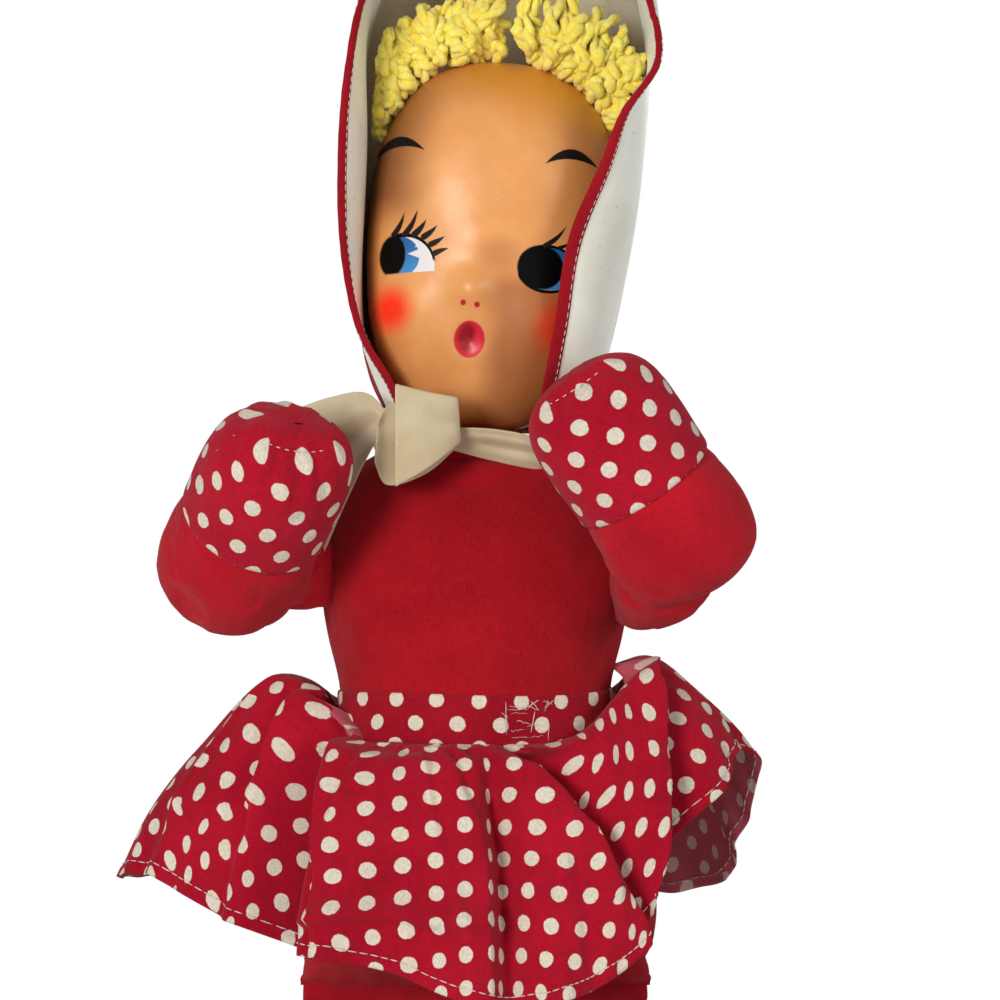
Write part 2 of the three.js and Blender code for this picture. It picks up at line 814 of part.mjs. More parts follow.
function hairClump(fromAngle, toAngle, fullness) {
  const stations = 8;
  const rings = [];
  const reach = 1.1;
  const place = (angle) => {
    const rim = faceRim(angle, 0);
    return new THREE.Vector3(rim.x * reach, -faceBack - hairRadius, faceMiddle + rim.z * reach + hairRise);
  };
  for (let i = 0; i <= stations; i++) {
    const share = i / stations;
    const angle = THREE.MathUtils.degToRad(THREE.MathUtils.lerp(fromAngle, toAngle, share));
    const step = THREE.MathUtils.degToRad(2);
    const along = new THREE.Vector3().subVectors(place(angle + step), place(angle - step)).normalize();
    const out = new THREE.Vector3().crossVectors(Y, along).normalize();
    const swell = Math.sqrt(Math.sin(Math.PI * THREE.MathUtils.lerp(0.06, 0.94, share)));
    const radius = hairRadius * swell * fullness;
    rings.push(ring(place(angle), out, Y, radius, radius * 1.1, 10));
  }
  return loft(rings).subtract(faceForm(-gap)).subtract(skullForm(-gap));
}

// Ribbon: one tie comes from each front corner of the hood. They are knotted beside the chin,
// with a folded loop that stands up and a tail that hangs over the doll's right shoulder

function ribbon(stations) {
  const curve = (key) => new THREE.CatmullRomCurve3(stations.map((s) => new THREE.Vector3(...s[key])));
  const high = curve('top');
  const low = curve('bottom');
  const steps = stations.length * 3;
  const rows = 2;
  const grid = [];
  for (let r = 0; r <= rows; r++) {
    const line = [];
    for (let c = 0; c <= steps; c++) {
      line.push(high.getPoint(c / steps).lerp(low.getPoint(c / steps), r / rows));
    }
    grid.push(line);
  }
  return sheet(grid, oilclothWall);
}

const knotPlace = new THREE.Vector3(-30, -41, 6);

function bowKnot() {
  const geometry = new THREE.SphereGeometry(1, 10, 7);
  geometry.scale(5.5, 4.5, 7);
  geometry.translate(knotPlace.x, knotPlace.y, knotPlace.z);
  return toSolid(geometry);
}

function bowLoop() {
  return ribbon([
    { top: [-24, -41, 14], bottom: [-24.3, -41, -6] },
    { top: [-16, -42, 19], bottom: [-16, -41, -4] },
    { top: [-6, -46, 22], bottom: [-5, -44, 6] },
    { top: [-16, -51, 24], bottom: [-16, -50, -3] },
    { top: [-28, -53, 27], bottom: [-28, -52, -10] },
  ]);
}

function tieTail() {
  return ribbon([
    { top: [-36.1, -41, 13], bottom: [-36.1, -41, 3] },
    { top: [-42, -34, 22], bottom: [-40, -34, 0] },
    { top: [-53, -24, 22], bottom: [-48, -25, -13] },
    { top: [-63, -18, 19], bottom: [-57, -21, -28] },
  ]);
}

// A point in front of the torso, at a height from the centre on which the head nods
function onChest(x, z) {
  const torso = torsoAt(neckPivotHeight + z);
  const share = Math.min(1, Math.abs(x) / torso.halfWidth);
  return [x, -torso.halfDepth * Math.sqrt(1 - share ** 2) - gap - oilclothWall / 2, z];
}

function tieLeft() {
  return ribbon([
    { top: [-12, -40.4, 8.5], bottom: [-12, -39.4, 1.5] },
    { top: [6, -38, 8.5], bottom: onChest(6, -4) },
    { top: [19, -39, 3.5], bottom: onChest(20.5, -7) },
    { top: [31, -31.5, 3.5], bottom: onChest(33, -8) },
  ]);
}

// The doll

function mesh(name, solid, finish) {
  const material = new THREE.MeshStandardMaterial(colours[finish]);
  const piece = new THREE.Mesh(toGeometry(solid), material);
  piece.name = name;
  return piece;
}

function buildTorso() {
  const torso = new THREE.Group();
  torso.add(mesh('torso_cover', torsoCover(), 'redCotton'));
  torso.add(mesh('torso_stuffing', torsoStuffing(), 'stuffing'));
  torso.add(mesh('waistband', waistband(), 'dottedCotton'));
  torso.add(mesh('skirt', skirt(), 'dottedCotton'));
  return torso;
}

function buildLeg(name, side) {
  const leg = new THREE.Group();
  leg.position.set((side * legSpacing) / 2, 0, legLength);
  leg.add(mesh(`leg_${name}`, legShell().intersect(legSlab(true)), 'redCotton'));
  leg.add(mesh(`boot_${name}`, legShell().intersect(legSlab(false)), 'dottedCotton'));
  leg.add(mesh(`leg_stuffing_${name}`, legStuffing(), 'stuffing'));
  return leg;
}

function buildArm(name) {
  const pose = armPoses[name];
  const arm = new THREE.Group();
  arm.position.copy(shoulderAt(pose.side));
  arm.add(mesh(`sleeve_${name}`, armShell(pose).intersect(armSlab(pose, false)), 'redCotton'));
  arm.add(mesh(`mitt_${name}`, armShell(pose).intersect(armSlab(pose, true)), 'dottedCotton'));
  arm.add(mesh(`arm_stuffing_${name}`, armStuffing(pose), 'stuffing'));
  return arm;
}

function buildHead() {
  const head = new THREE.Group();
  head.position.copy(neckPivot);
  head.rotation.y = THREE.MathUtils.degToRad(headRoll);
  head.add(mesh('neck', neck(), 'redCotton'));
  head.add(mesh('face_mask', faceMask(), 'mouldedFace'));
  head.add(mesh('head_back', headBack(), 'redCotton'));
  head.add(mesh('head_stuffing', headStuffing(), 'stuffing'));
  head.add(mesh('hair_right', hairClump(152, 93, 1), 'yarn'));
  head.add(mesh('hair_left', hairClump(89, 38, 1.1), 'yarn'));
  head.add(mesh('hood_crown', hoodCrown(), 'redCotton'));
  head.add(mesh('hood_brim', hoodBrim(), 'oilcloth'));
  head.add(mesh('hood_binding', hoodBinding(), 'tape'));
  return head;
}

function buildTie() {
  const tie = new THREE.Group();
  tie.position.copy(neckPivot);
  tie.add(mesh('bow_knot', bowKnot(), 'oilcloth'));
  tie.add(mesh('bow_loop', bowLoop(), 'oilcloth'));
  tie.add(mesh('tie_tail', tieTail(), 'oilcloth'));
  tie.add(mesh('tie_left', tieLeft(), 'oilcloth'));
  return tie;
}

const doll = new THREE.Group();
doll.add(buildTorso(), buildHead(), buildTie());
doll.add(buildArm('left'), buildArm('right'));
doll.add(buildLeg('left', 1), buildLeg('right', -1));

// The origin is on the floor, under the middle of the whole doll
doll.updateMatrixWorld(true);
const bounds = new THREE.Box3().setFromObject(doll, true);
const middle = bounds.getCenter(new THREE.Vector3());
doll.position.set(-middle.x, -middle.y, 0);

export default doll;
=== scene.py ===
import functools
import itertools
import json
import math
import random

import bmesh
import bpy
import numpy as np
from mathutils import Matrix, Vector


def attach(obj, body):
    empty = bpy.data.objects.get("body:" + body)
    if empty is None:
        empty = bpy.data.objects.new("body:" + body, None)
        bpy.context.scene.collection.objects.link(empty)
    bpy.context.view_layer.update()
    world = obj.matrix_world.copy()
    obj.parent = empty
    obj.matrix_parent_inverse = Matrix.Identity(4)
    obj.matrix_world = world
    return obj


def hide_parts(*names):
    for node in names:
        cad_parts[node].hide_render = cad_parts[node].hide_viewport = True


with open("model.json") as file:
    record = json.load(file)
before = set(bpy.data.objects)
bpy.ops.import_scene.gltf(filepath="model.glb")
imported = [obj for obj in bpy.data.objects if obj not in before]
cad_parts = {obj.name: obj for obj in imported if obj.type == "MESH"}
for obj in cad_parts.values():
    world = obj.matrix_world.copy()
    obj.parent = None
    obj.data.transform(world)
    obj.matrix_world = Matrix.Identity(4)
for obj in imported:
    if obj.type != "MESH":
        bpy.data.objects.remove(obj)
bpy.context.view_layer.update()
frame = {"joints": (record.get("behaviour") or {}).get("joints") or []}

# Camera, light and floor
# The doll is photographed from the front, level with its chest, on plain white. The light is
# soft and comes from the upper left, so the side of the doll's left hand is darker.

PIVOT = Vector(next(j for j in frame["joints"] if j["name"] == "neck_nod")["pos_m"])
MM = 0.001


def doll(x, y, z):
    """A point given in millimetres from the doll's middle on the floor."""
    return Vector((PIVOT.x + x * MM, PIVOT.y + y * MM, z * MM))


def srgb(red, green, blue):
    """A colour as it is seen, from 0 to 255, in the linear numbers that a material takes."""
    parts = [c / 255 for c in (red, green, blue)]
    return tuple(c / 12.92 if c <= 0.04045 else ((c + 0.055) / 1.055) ** 2.4 for c in parts) + (1,)


camera = bpy.data.objects.new("camera", bpy.data.cameras.new("camera"))
bpy.context.scene.collection.objects.link(camera)
camera.location = PIVOT + Vector((0.0092, -1.1054, -0.0144))
camera.rotation_euler = (math.radians(90), 0, 0)
camera.data.sensor_width = 36
camera.data.lens = 36 * 1.1 / 0.37
bpy.context.scene.camera = camera
bpy.context.scene.view_settings.view_transform = "Standard"


def soft_light(name, place, size, power):
    lamp = bpy.data.objects.new(name, bpy.data.lights.new(name, "AREA"))
    lamp.data.size = size
    lamp.data.energy = power
    lamp.location = place
    lamp.rotation_euler = (doll(0, 0, 330) - lamp.location).to_track_quat("-Z", "Y").to_euler()
    bpy.context.scene.collection.objects.link(lamp)


soft_light("window_light", (-0.85, -1.75, 0.6), 0.6, 28)
soft_light("room_light", (1.5, -1.0, 0.7), 0.8, 9)
soft_light("back_light", (0.3, 1.7, 1.2), 1.2, 5)

world = bpy.data.worlds.new("studio")
bpy.context.scene.world = world
world.use_nodes = True
sky = world.node_tree
sky.nodes.clear()


class Field:
    """A value that a node tree works out at each point. Arithmetic on it adds math nodes."""

    def __init__(self, socket):
        self.socket = socket

    def __add__(self, other):
        return maths("ADD", self, other)

    def __sub__(self, other):
        return maths("SUBTRACT", self, other)

    def __rsub__(self, other):
        return maths("SUBTRACT", other, self)

    def __mul__(self, other):
        return maths("MULTIPLY", self, other)


def node(kind, inputs, output=0, tree=None, **settings):
    """The output of a new node. Each input is a value, or the Field that feeds it."""
    if tree is None:
        tree = next(v.socket.id_data for v in inputs.values() if isinstance(v, Field))
    made = tree.nodes.new(kind)
    for key, value in settings.items():
        setattr(made, key, value)
    for key, value in inputs.items():
        if isinstance(value, Field):
            tree.links.new(value.socket, made.inputs[key])
        else:
            made.inputs[key].default_value = value
    return Field(made.outputs[output]) if made.outputs else None


def maths(operation, *values, clamp=False):
    return node("ShaderNodeMath", dict(enumerate(values)), operation=operation, use_clamp=clamp)


def vectors(operation, *values):
    output = "Value" if operation == "LENGTH" else 0
    return node("ShaderNodeVectorMath", dict(enumerate(values)), output, operation=operation)


def ramp(value, low, high, start=0.0, end=1.0, blend="SMOOTHSTEP"):
    """The value taken from the range low to high to the range start to end."""
    ends = {0: value, 1: low, 2: high, 3: start, 4: end}
    return node("ShaderNodeMapRange", ends, interpolation_type=blend)


def ray(tree, kind):
    return node("ShaderNodeLightPath", {}, f"Is {kind} Ray", tree)


plain_white = maths("ADD", ray(sky, "Camera"), ray(sky, "Glossy") + ray(sky, "Transmission"), clamp=True)
room = node("ShaderNodeBackground", {"Color": (0.96, 0.98, 1, 1), "Strength": 0.24}, tree=sky)
white = node("ShaderNodeBackground", {"Color": (1, 1, 1, 1), "Strength": 1}, tree=sky)
both = node("ShaderNodeMixShader", {0: plain_white, 1: room, 2: white})
node("ShaderNodeOutputWorld", {"Surface": both})

floor_shape = bmesh.new()
bmesh.ops.create_circle(floor_shape, cap_ends=True, segments=96, radius=0.95)
floor_mesh = bpy.data.meshes.new("floor")
floor_shape.to_mesh(floor_mesh)
floor_shape.free()
floor = bpy.data.objects.new("floor", floor_mesh)
bpy.context.scene.collection.objects.link(floor)
# The floor fades into the white behind it, for the camera only
floor_paint = bpy.data.materials.new("pale_floor")
floor_paint.use_nodes = True
paint = floor_paint.node_tree
paint.nodes.clear()
out = vectors("LENGTH", node("ShaderNodeTexCoord", {}, "Object", paint))
lit = node("ShaderNodeBsdfDiffuse", {"Color": (0.86, 0.86, 0.86, 1)}, tree=paint)
bright = node("ShaderNodeEmission", {"Color": (1, 1, 1, 1), "Strength": 1}, tree=paint)
mixed = node("ShaderNodeMixShader", {0: ramp(out, 0.35, 0.9) * ray(paint, "Camera"), 1: lit, 2: bright})
node("ShaderNodeOutputMaterial", {"Surface": mixed})
floor_mesh.materials.append(floor_paint)

# Torso
# Two panels of plain red cotton, sewn at the sides and stuffed with loose filling. The lower
# edge is sewn flat, where the legs are joined, and the top is drawn in round the neck.


def smooth_line(points, closed=False):
    """A smooth curve through points of any number of values, read by a share from 0 to 1."""
    knots = [np.array(p, float) for p in points]
    spans = len(knots) if closed else len(knots) - 1

    def knot(index):
        if closed:
            return knots[index % len(knots)]
        if index < 0:
            return 2 * knots[0] - knots[1]
        if index >= len(knots):
            return 2 * knots[-1] - knots[-2]
        return knots[index]

    def at(share):
        step = (share % 1 if closed else min(max(share, 0), 1)) * spans
        index = min(int(step), spans - 1)
        t = step - index
        a, b, c, d = (knot(index + k) for k in (-1, 0, 1, 2))
        ab, bc, cd = (max(np.linalg.norm(q - p), 1e-6) ** 0.5 for p, q in ((a, b), (b, c), (c, d)))
        leave = ((b - a) / ab - (c - a) / (ab + bc) + (c - b) / bc) * bc
        arrive = ((c - b) / bc - (d - b) / (bc + cd) + (d - c) / cd) * bc
        cubic = 2 * b - 2 * c + leave + arrive
        square = -3 * b + 3 * c - 2 * leave - arrive
        return ((cubic * t + square) * t + leave) * t + b

    return at


def as_piece(shape, name, *materials):
    """Makes an object of a bmesh, with smooth shading."""
    mesh = bpy.data.meshes.new(name)
    shape.to_mesh(mesh)
    shape.free()
    mesh.shade_smooth()
    for material in materials:
        mesh.materials.append(material)
    piece = bpy.data.objects.new(name, mesh)
    bpy.context.scene.collection.objects.link(piece)
    return piece


def cloth_grid(across, along, place, lay, outward=False):
    """A grid moved to place(u, v). lay(u, v, side) is its place on the flat cloth, in metres,
    where side is the u of the middle of the face, so that a seam can part two panels."""
    shape = bmesh.new()
    bmesh.ops.create_grid(shape, x_segments=across, y_segments=along, size=0.5)
    flat = shape.loops.layers.uv.new("flat")
    for face in shape.faces:
        side = face.calc_center_median().x + 0.5
        for loop in face.loops:
            loop[flat].uv = lay(loop.vert.co.x + 0.5, loop.vert.co.y + 0.5, side)
    for vert in shape.verts:
        vert.co = place(vert.co.x + 0.5, vert.co.y + 0.5)
    bmesh.ops.remove_doubles(shape, verts=shape.verts, dist=2e-6)
    if outward:
        bmesh.ops.recalc_face_normals(shape, faces=shape.faces)
    return shape


def noise_of(where, scale, detail=3.0, roughness=0.55):
    grain = {"Vector": where, "Scale": scale, "Detail": detail, "Roughness": roughness}
    return node("ShaderNodeTexNoise", grain, "Fac")


def scaled(where, x, y, z=1.0):
    return vectors("MULTIPLY", where, (x, y, z))


def xy(where):
    return [node("ShaderNodeSeparateXYZ", {0: where}, k) for k in (0, 1)]


def tint(amount, first, second):
    return node("ShaderNodeMix", {0: amount, 6: first, 7: second}, 2, data_type="RGBA")


def bump(height, strength, distance, under=None):
    """A surface raised by a height, over another such surface."""
    inputs = {"Strength": strength, "Distance": distance, "Height": height}
    return node("ShaderNodeBump", {**inputs, "Normal": under} if under else inputs)


def fresh_material(name, roughness, **sockets):
    """A material, its own UV, its object's coordinates, and a call that feeds its shader."""
    material = bpy.data.materials.new(name)
    material.use_nodes = True
    tree = material.node_tree
    shader = tree.nodes["Principled BSDF"]
    shader.inputs["Roughness"].default_value = roughness
    for key, value in sockets.items():
        shader.inputs[key.replace("_", " ")].default_value = value
    flat, place = (node("ShaderNodeTexCoord", {}, kind, tree) for kind in ("UV", "Object"))

    def feed(key, field):
        tree.links.new(field.socket, shader.inputs[key])

    return material, flat, place, feed


DOT_COLUMN = 0.0155
DOT_ROW = 0.0171
DOT_RADIUS = 0.0028
DOT_WHITE = srgb(232, 222, 204)
DOT_GREY = srgb(208, 198, 178)


def dot_print(flat, base):
    """Staggered round dots, printed a little unevenly over the base colour."""
    wobble = node("ShaderNodeTexNoise", {"Vector": flat, "Scale": 60, "Detail": 2}, "Color")
    drift = vectors("SUBTRACT", wobble, (0.5, 0.5, 0.5))
    moved = vectors("MULTIPLY_ADD", drift, (0.0016, 0.0016, 0), flat)
    away = []
    for offset in (0.0, 0.5):
        lattice = vectors("MULTIPLY_ADD", moved, (1 / DOT_COLUMN, 1 / DOT_ROW, 0), (offset, offset, 0))
        middle = vectors("SUBTRACT", vectors("FRACTION", lattice), (0.5, 0.5, 0))
        away.append(vectors("LENGTH", scaled(middle, DOT_COLUMN, DOT_ROW, 0)))
    rough = noise_of(flat, 900, 2) * 0.0005 + maths("MINIMUM", *away)
    dot = ramp(rough, DOT_RADIUS + 0.0001, DOT_RADIUS + 0.0004, 1, 0)
    ink = tint(ramp(noise_of(flat, 900, 3, 0.7), 0.35, 0.7), DOT_WHITE, DOT_GREY)
    return tint(dot * 0.96, base, ink)


def cotton(name, colour, dotted=False, paler=0.0, worn=0.5):
    """Plain woven cotton, with slubs along both threads and a slightly uneven dye."""
    material, flat, place, feed = fresh_material(
        name, 0.9, Sheen_Weight=0.06, Sheen_Roughness=0.5, Specular_IOR_Level=0.12
    )
    slubs = noise_of(scaled(flat, 300, 2600), 1, 3, 0.65) + noise_of(scaled(flat, 2600, 300), 1, 3, 0.65)
    dye = slubs * 0.42 + noise_of(place, 24, 4, 0.6) * worn
    dark = tuple(c * 0.66 for c in colour[:3]) + (1,)
    light = tuple(min(1, c * 1.25 + 0.004) for c in colour[:3]) + (1,)
    base = tint(ramp(dye, 0.35 + worn * 0.3, 0.55 + worn * 0.6, blend="LINEAR"), dark, light)
    if dotted:
        base = dot_print(flat, base)
    if paler:
        base = tint(paler, base, srgb(196, 120, 128))
    feed("Base Color", base)
    weft, warp = (
        maths("SINE", way * (2 * math.pi / thread)) for way, thread in zip(xy(flat), (0.0005, 0.00047))
    )
    woven = bump(weft * warp + slubs * 1.6, 0.5, 0.00012)
    feed("Normal", bump(noise_of(place, 95, 3, 0.5), 0.35, 0.0012, woven))
    return material


def rows(v, first, last):
    """The rows before first and after last close the ends of a stuffed piece. Gives how far its
    start is open, the share along its side between them, and how far its end is open."""
    # Both spans are rounded, because the filled cloth puckers elsewhere when a last digit changes
    side, end = round(last - first, 6), round(1 - last, 6)
    opened = min(1, v / first) if first else 1
    return opened, min(1, max(0, v - first) / side), max(0, 1 - max(0, v - last) / end)


RED = srgb(166, 7, 23)
TORSO_LINE = smooth_line([
    (65, 1.2, 165.3), (66, 22.8, 177), (66, 38, 205), (50, 35, 266.25),
    (57, 39, 316), (49, 31, 350), (28, 25, 366),
])


def torso_point(u, v):
    """u runs once round from the doll's right side by the front. v runs up from the hip seam."""
    _, along, closing = rows(v, 0, 0.9)
    wide, deep, height = TORSO_LINE(along)
    turn = 2 * math.pi * u
    near_seam = math.exp(-(((height - 172) / 9) ** 2)) * abs(math.sin(turn))
    deep += near_seam * (0.7 * math.sin(23 * turn + height / 4) + 0.8 * math.sin(height / 1.9 + 3 * turn))
    return doll(-wide * closing * math.cos(turn), -deep * closing * math.sin(turn), height)


def two_panels(half_girth):
    """Lays the front and the back of a stuffed piece flat, each out from its own middle."""
    def lay(u, v, side):
        middle = 0.25 if side < 0.5 else 0.75
        wide, height = half_girth(v)
        return ((u - middle) * 2 * wide + (0 if side < 0.5 else 0.31), height)
    return lay


def stuff(piece, held, cap, slack=0.03, pressure=3.0):
    """Lets the cloth out by its slack and fills it, with its seams held. No point moves
    further than cap."""
    scene = bpy.context.scene
    seams = piece.vertex_groups.new(name="seams")
    seams.add([v.index for v in piece.data.vertices if held(v.co)], 1, "REPLACE")
    cloth = piece.modifiers.new("stuffing", "CLOTH")
    cloth.settings.quality = 6
    cloth.settings.mass = 0.1
    cloth.settings.tension_stiffness = 40
    cloth.settings.compression_stiffness = 25
    cloth.settings.shear_stiffness = 12
    cloth.settings.bending_stiffness = 0.06
    cloth.settings.air_damping = 4
    cloth.settings.use_pressure = True
    cloth.settings.uniform_pressure_force = pressure
    cloth.settings.shrink_min = -slack
    cloth.settings.vertex_group_mass = "seams"
    cloth.settings.effector_weights.gravity = 0
    cloth.collision_settings.use_collision = False
    cloth.point_cache.frame_end = 20
    for step in range(1, 21):
        scene.frame_set(step)
    settled = piece.evaluated_get(bpy.context.evaluated_depsgraph_get()).data
    places = [v.co.copy() for v in settled.vertices]
    piece.modifiers.remove(cloth)
    scene.frame_set(1)
    for vert, place in zip(piece.data.vertices, places):
        move = place - vert.co
        if move.length > cap:
            move *= cap / move.length
        vert.co += move


def finer(piece, levels):
    smooth = piece.modifiers.new("finer", "SUBSURF")
    smooth.levels = levels
    smooth.render_levels = levels


# Heights in metres at which the torso's cloth is held: hip seam, under the waistband, neck
TORSO_HELD = ((0, 0.1665), (0.2535, 0.279), (0.3655, 1))
torso_panels = two_panels(lambda v: (0.175, v * 0.235))
torso_shape = cloth_grid(88, 60, torso_point, torso_panels, outward=True)
torso = as_piece(torso_shape, "torso", cotton("torso_cotton", RED))
stuff(torso, lambda p: any(low < p.z < high for low, high in TORSO_HELD), 0.003)
finer(torso, 1)
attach(torso, "torso")
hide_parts("torso_cover", "torso_stuffing")

# Waistband
# A straight strip of the dotted cotton, doubled and sewn round the waist over the body. Its
# front is rubbed through in one place, where the white threads fray.

BAND_LOW = 257.3
BAND_HIGH = 275.5
BAND_FLAT = 18.5
TORSO_ROWS = np.array([TORSO_LINE(k / 240) for k in range(241)])


def torso_size(height):
    """The torso's half width and half depth at a height."""
    return tuple(np.interp(height, TORSO_ROWS[:, 2], TORSO_ROWS[:, k]) for k in (0, 1))


def band_point(u, v):
    """u runs round from the back. v runs up the outside, from edge to edge."""
    height = BAND_LOW + (BAND_HIGH - BAND_LOW) * v
    wide, deep = torso_size(height)
    turn = 2 * math.pi * u
    ripple = 0.35 * math.sin(31 * turn) * (1 - v) + 0.25 * math.sin(13 * turn + 2)
    out = 1.0 + 0.5 * max(0, math.sin(math.pi * v)) ** 0.5 + ripple * 0.6
    sag = 0.5 * math.sin(3 * turn)
    return doll(-(wide + out) * math.sin(turn), (deep + out) * math.cos(turn), height + sag)


def lengths_round(place, v, steps):
    """The length so far at each step round a piece, at one level of it, in metres."""
    spots = [place(k / steps, v) for k in range(steps + 1)]
    return list(itertools.accumulate(((b - a).length for a, b in zip(spots, spots[1:])), initial=0.0))


band_girth = lengths_round(band_point, 0.5, 240)


def band_lay(u, v, side):
    """The band's length runs from the middle of the doll's front. A row of dots is cut by its top."""
    along = np.interp(u * 240, range(241), band_girth) - band_girth[120]
    return (along - 0.0017, v * BAND_FLAT * MM + 0.0009)


band_cotton = cotton("band_cotton", srgb(156, 4, 28), dotted=True)
band_shape = cloth_grid(240, 10, band_point, band_lay)
bmesh.ops.recalc_face_normals(band_shape, faces=band_shape.faces)
waistband = as_piece(band_shape, "waistband_cloth", band_cotton)


def walled(piece, thickness, offset=-1):
    wall = piece.modifiers.new("wall", "SOLIDIFY")
    wall.thickness = thickness
    wall.offset = offset
    wall.use_even_offset = True
    return wall


walled(waistband, 0.0013)
finer(waistband, 1)
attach(waistband, "torso")
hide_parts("waistband")


def strand(shape, path, thick, sides=6):
    """A round thread through a path of places, with blunt ends."""
    single = bmesh.new()
    rings = []
    last = len(path) - 1
    for k, spot in enumerate(path):
        ahead = (path[min(k + 1, last)] - path[max(k - 1, 0)]).to_track_quat("Z", "Y").to_matrix().to_4x4()
        end = 0.5 if k in (0, last) else 1
        made = bmesh.ops.create_circle(
            single, cap_ends=k in (0, last), segments=sides, radius=thick * end,
            matrix=Matrix.Translation(spot) @ ahead,
        )
        rings.append(list({edge for vert in made["verts"] for edge in vert.link_edges}))
    for low, high in zip(rings, rings[1:]):
        bmesh.ops.bridge_loops(single, edges=low + high)
    bmesh.ops.recalc_face_normals(single, faces=single.faces)
    mesh = bpy.data.meshes.new("strand")
    single.to_mesh(mesh)
    single.free()
    shape.from_mesh(mesh)
    bpy.data.meshes.remove(mesh)


def thread_material(name, colour, roughness=0.7):
    """Spun thread, matt and slightly uneven."""
    material, _, place, feed = fresh_material(name, roughness, Specular_IOR_Level=0.2)
    worn = tuple(c * 0.72 for c in colour[:3]) + (1,)
    feed("Base Color", tint(ramp(noise_of(place, 900, 3), 0.35, 0.7), colour, worn))
    feed("Normal", bump(noise_of(place, 4200, 2), 0.5, 0.0002))
    return material


white_thread = thread_material("white_thread", srgb(226, 206, 196))
# Frayed threads of the worn patch: where each starts on the band, in millimetres from the
# middle of the front and up from its lower edge, its length along and up, and its thickness
FRAYED = [
    (11.3, 16.5, 0.2, -12.5, 0.28), (10.8, 11.5, 1.4, -4, 0.2), (12.2, 13.2, 8, 0.6, 0.16),
    (12.6, 14.6, 7, -0.5, 0.16), (22.2, 12.5, -1.7, -7.2, 0.3), (19.5, 14.2, 4.2, 2.6, 0.3),
    (18.6, 15.4, 5, -2.2, 0.26), (20.6, 16.4, 3.4, -3.6, 0.26), (27.2, 17, -1.2, -4.5, 0.2),
    (25.2, 16.6, 3.8, -1.2, 0.18), (26.4, 15, 3, 1.6, 0.16), (25.6, 13.6, 3.6, 2.8, 0.16),
    (15.2, 9.4, 5.2, -1.2, 0.22), (13, 5.6, 5, 0.4, 0.16), (13.4, 3.4, 6.4, -0.5, 0.14),
    (19, 7.6, 5.2, 0.2, 0.13), (27.4, 8.8, -0.6, -6.6, 0.2), (9.6, 12.4, 2.6, -2, 0.18),
    (20.2, 3.4, 5, 0.6, 0.13), (13.2, 12, 6.4, 0.2, 0.12),
]
frayed_shape = bmesh.new()
frayed_dice = random.Random(3)
for along, up, run, rise, thick in FRAYED:
    path = []
    for step in range(7):
        share = step / 6
        u = float(np.interp((along + run * share) * MM + band_girth[120], band_girth, range(241))) / 240
        v = (up + rise * share + frayed_dice.uniform(-0.4, 0.4)) / BAND_FLAT
        middle = band_point(u, 0.5)
        out = (middle - doll(0, 8, 266)).normalized()
        lift = 0.2 + 0.5 * math.sin(math.pi * share) * frayed_dice.random()
        path.append(band_point(u, min(1, v)) + out * lift * MM)
    strand(frayed_shape, path, thick * 0.6 * MM, 5)
frayed = as_piece(frayed_shape, "waistband_frayed_threads", white_thread)
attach(frayed, "torso")

# Skirt
# A flared strip of the dotted cotton, gathered at the waist. It stands away at the sides and
# falls at the front and back. Its hem is turned under once and sewn with white thread.

SKIRT_SEAM_HEIGHT = 257
SKIRT_STATIONS = [
    (5, -74, -87, 0), (34, -71, -84, 1), (54, -61, -73, 8), (71, -47, -48, 22), (88, -26, -17, 33),
    (101, 2, -1, 35), (102, 26, -34, 27), (96, 48, -58, 14), (55, 64, -66, 6), (0, 70, -70, 3),
    (-45, 68, -68, 6), (-84, 56, -62, 12), (-114, 34, -53, 22), (-132, -2, -50, 30),
    (-118, -24, -46, 29), (-92, -46, -59, 15), (-65, -62, -69, 2), (-31, -70, -74, 0),
]
HEM_LINE = smooth_line([s[:3] for s in SKIRT_STATIONS], closed=True)
PUFF_LINE = smooth_line([(s[3], 0, 0) for s in SKIRT_STATIONS], closed=True)
# Each soft fold: the way round to it at the hem, its half width, how far it stands out, its start
SKIRT_FOLDS = [
    (0.2, 0.014, -3, 0.4), (0.30, 0.014, 5, 0.3), (0.345, 0.016, -5, 0.3), (0.40, 0.018, 5, 0.2),
    (0.46, 0.016, -6, 0.2), (-0.47, 0.018, 5, 0.2), (-0.42, 0.014, -5, 0.2), (-0.37, 0.018, 5, 0.2),
    (-0.32, 0.014, -4, 0.3), (-0.27, 0.014, 4, 0.3), (-0.235, 0.014, -4, 0.3), (0.04, 0.03, 3, 0.4),
]
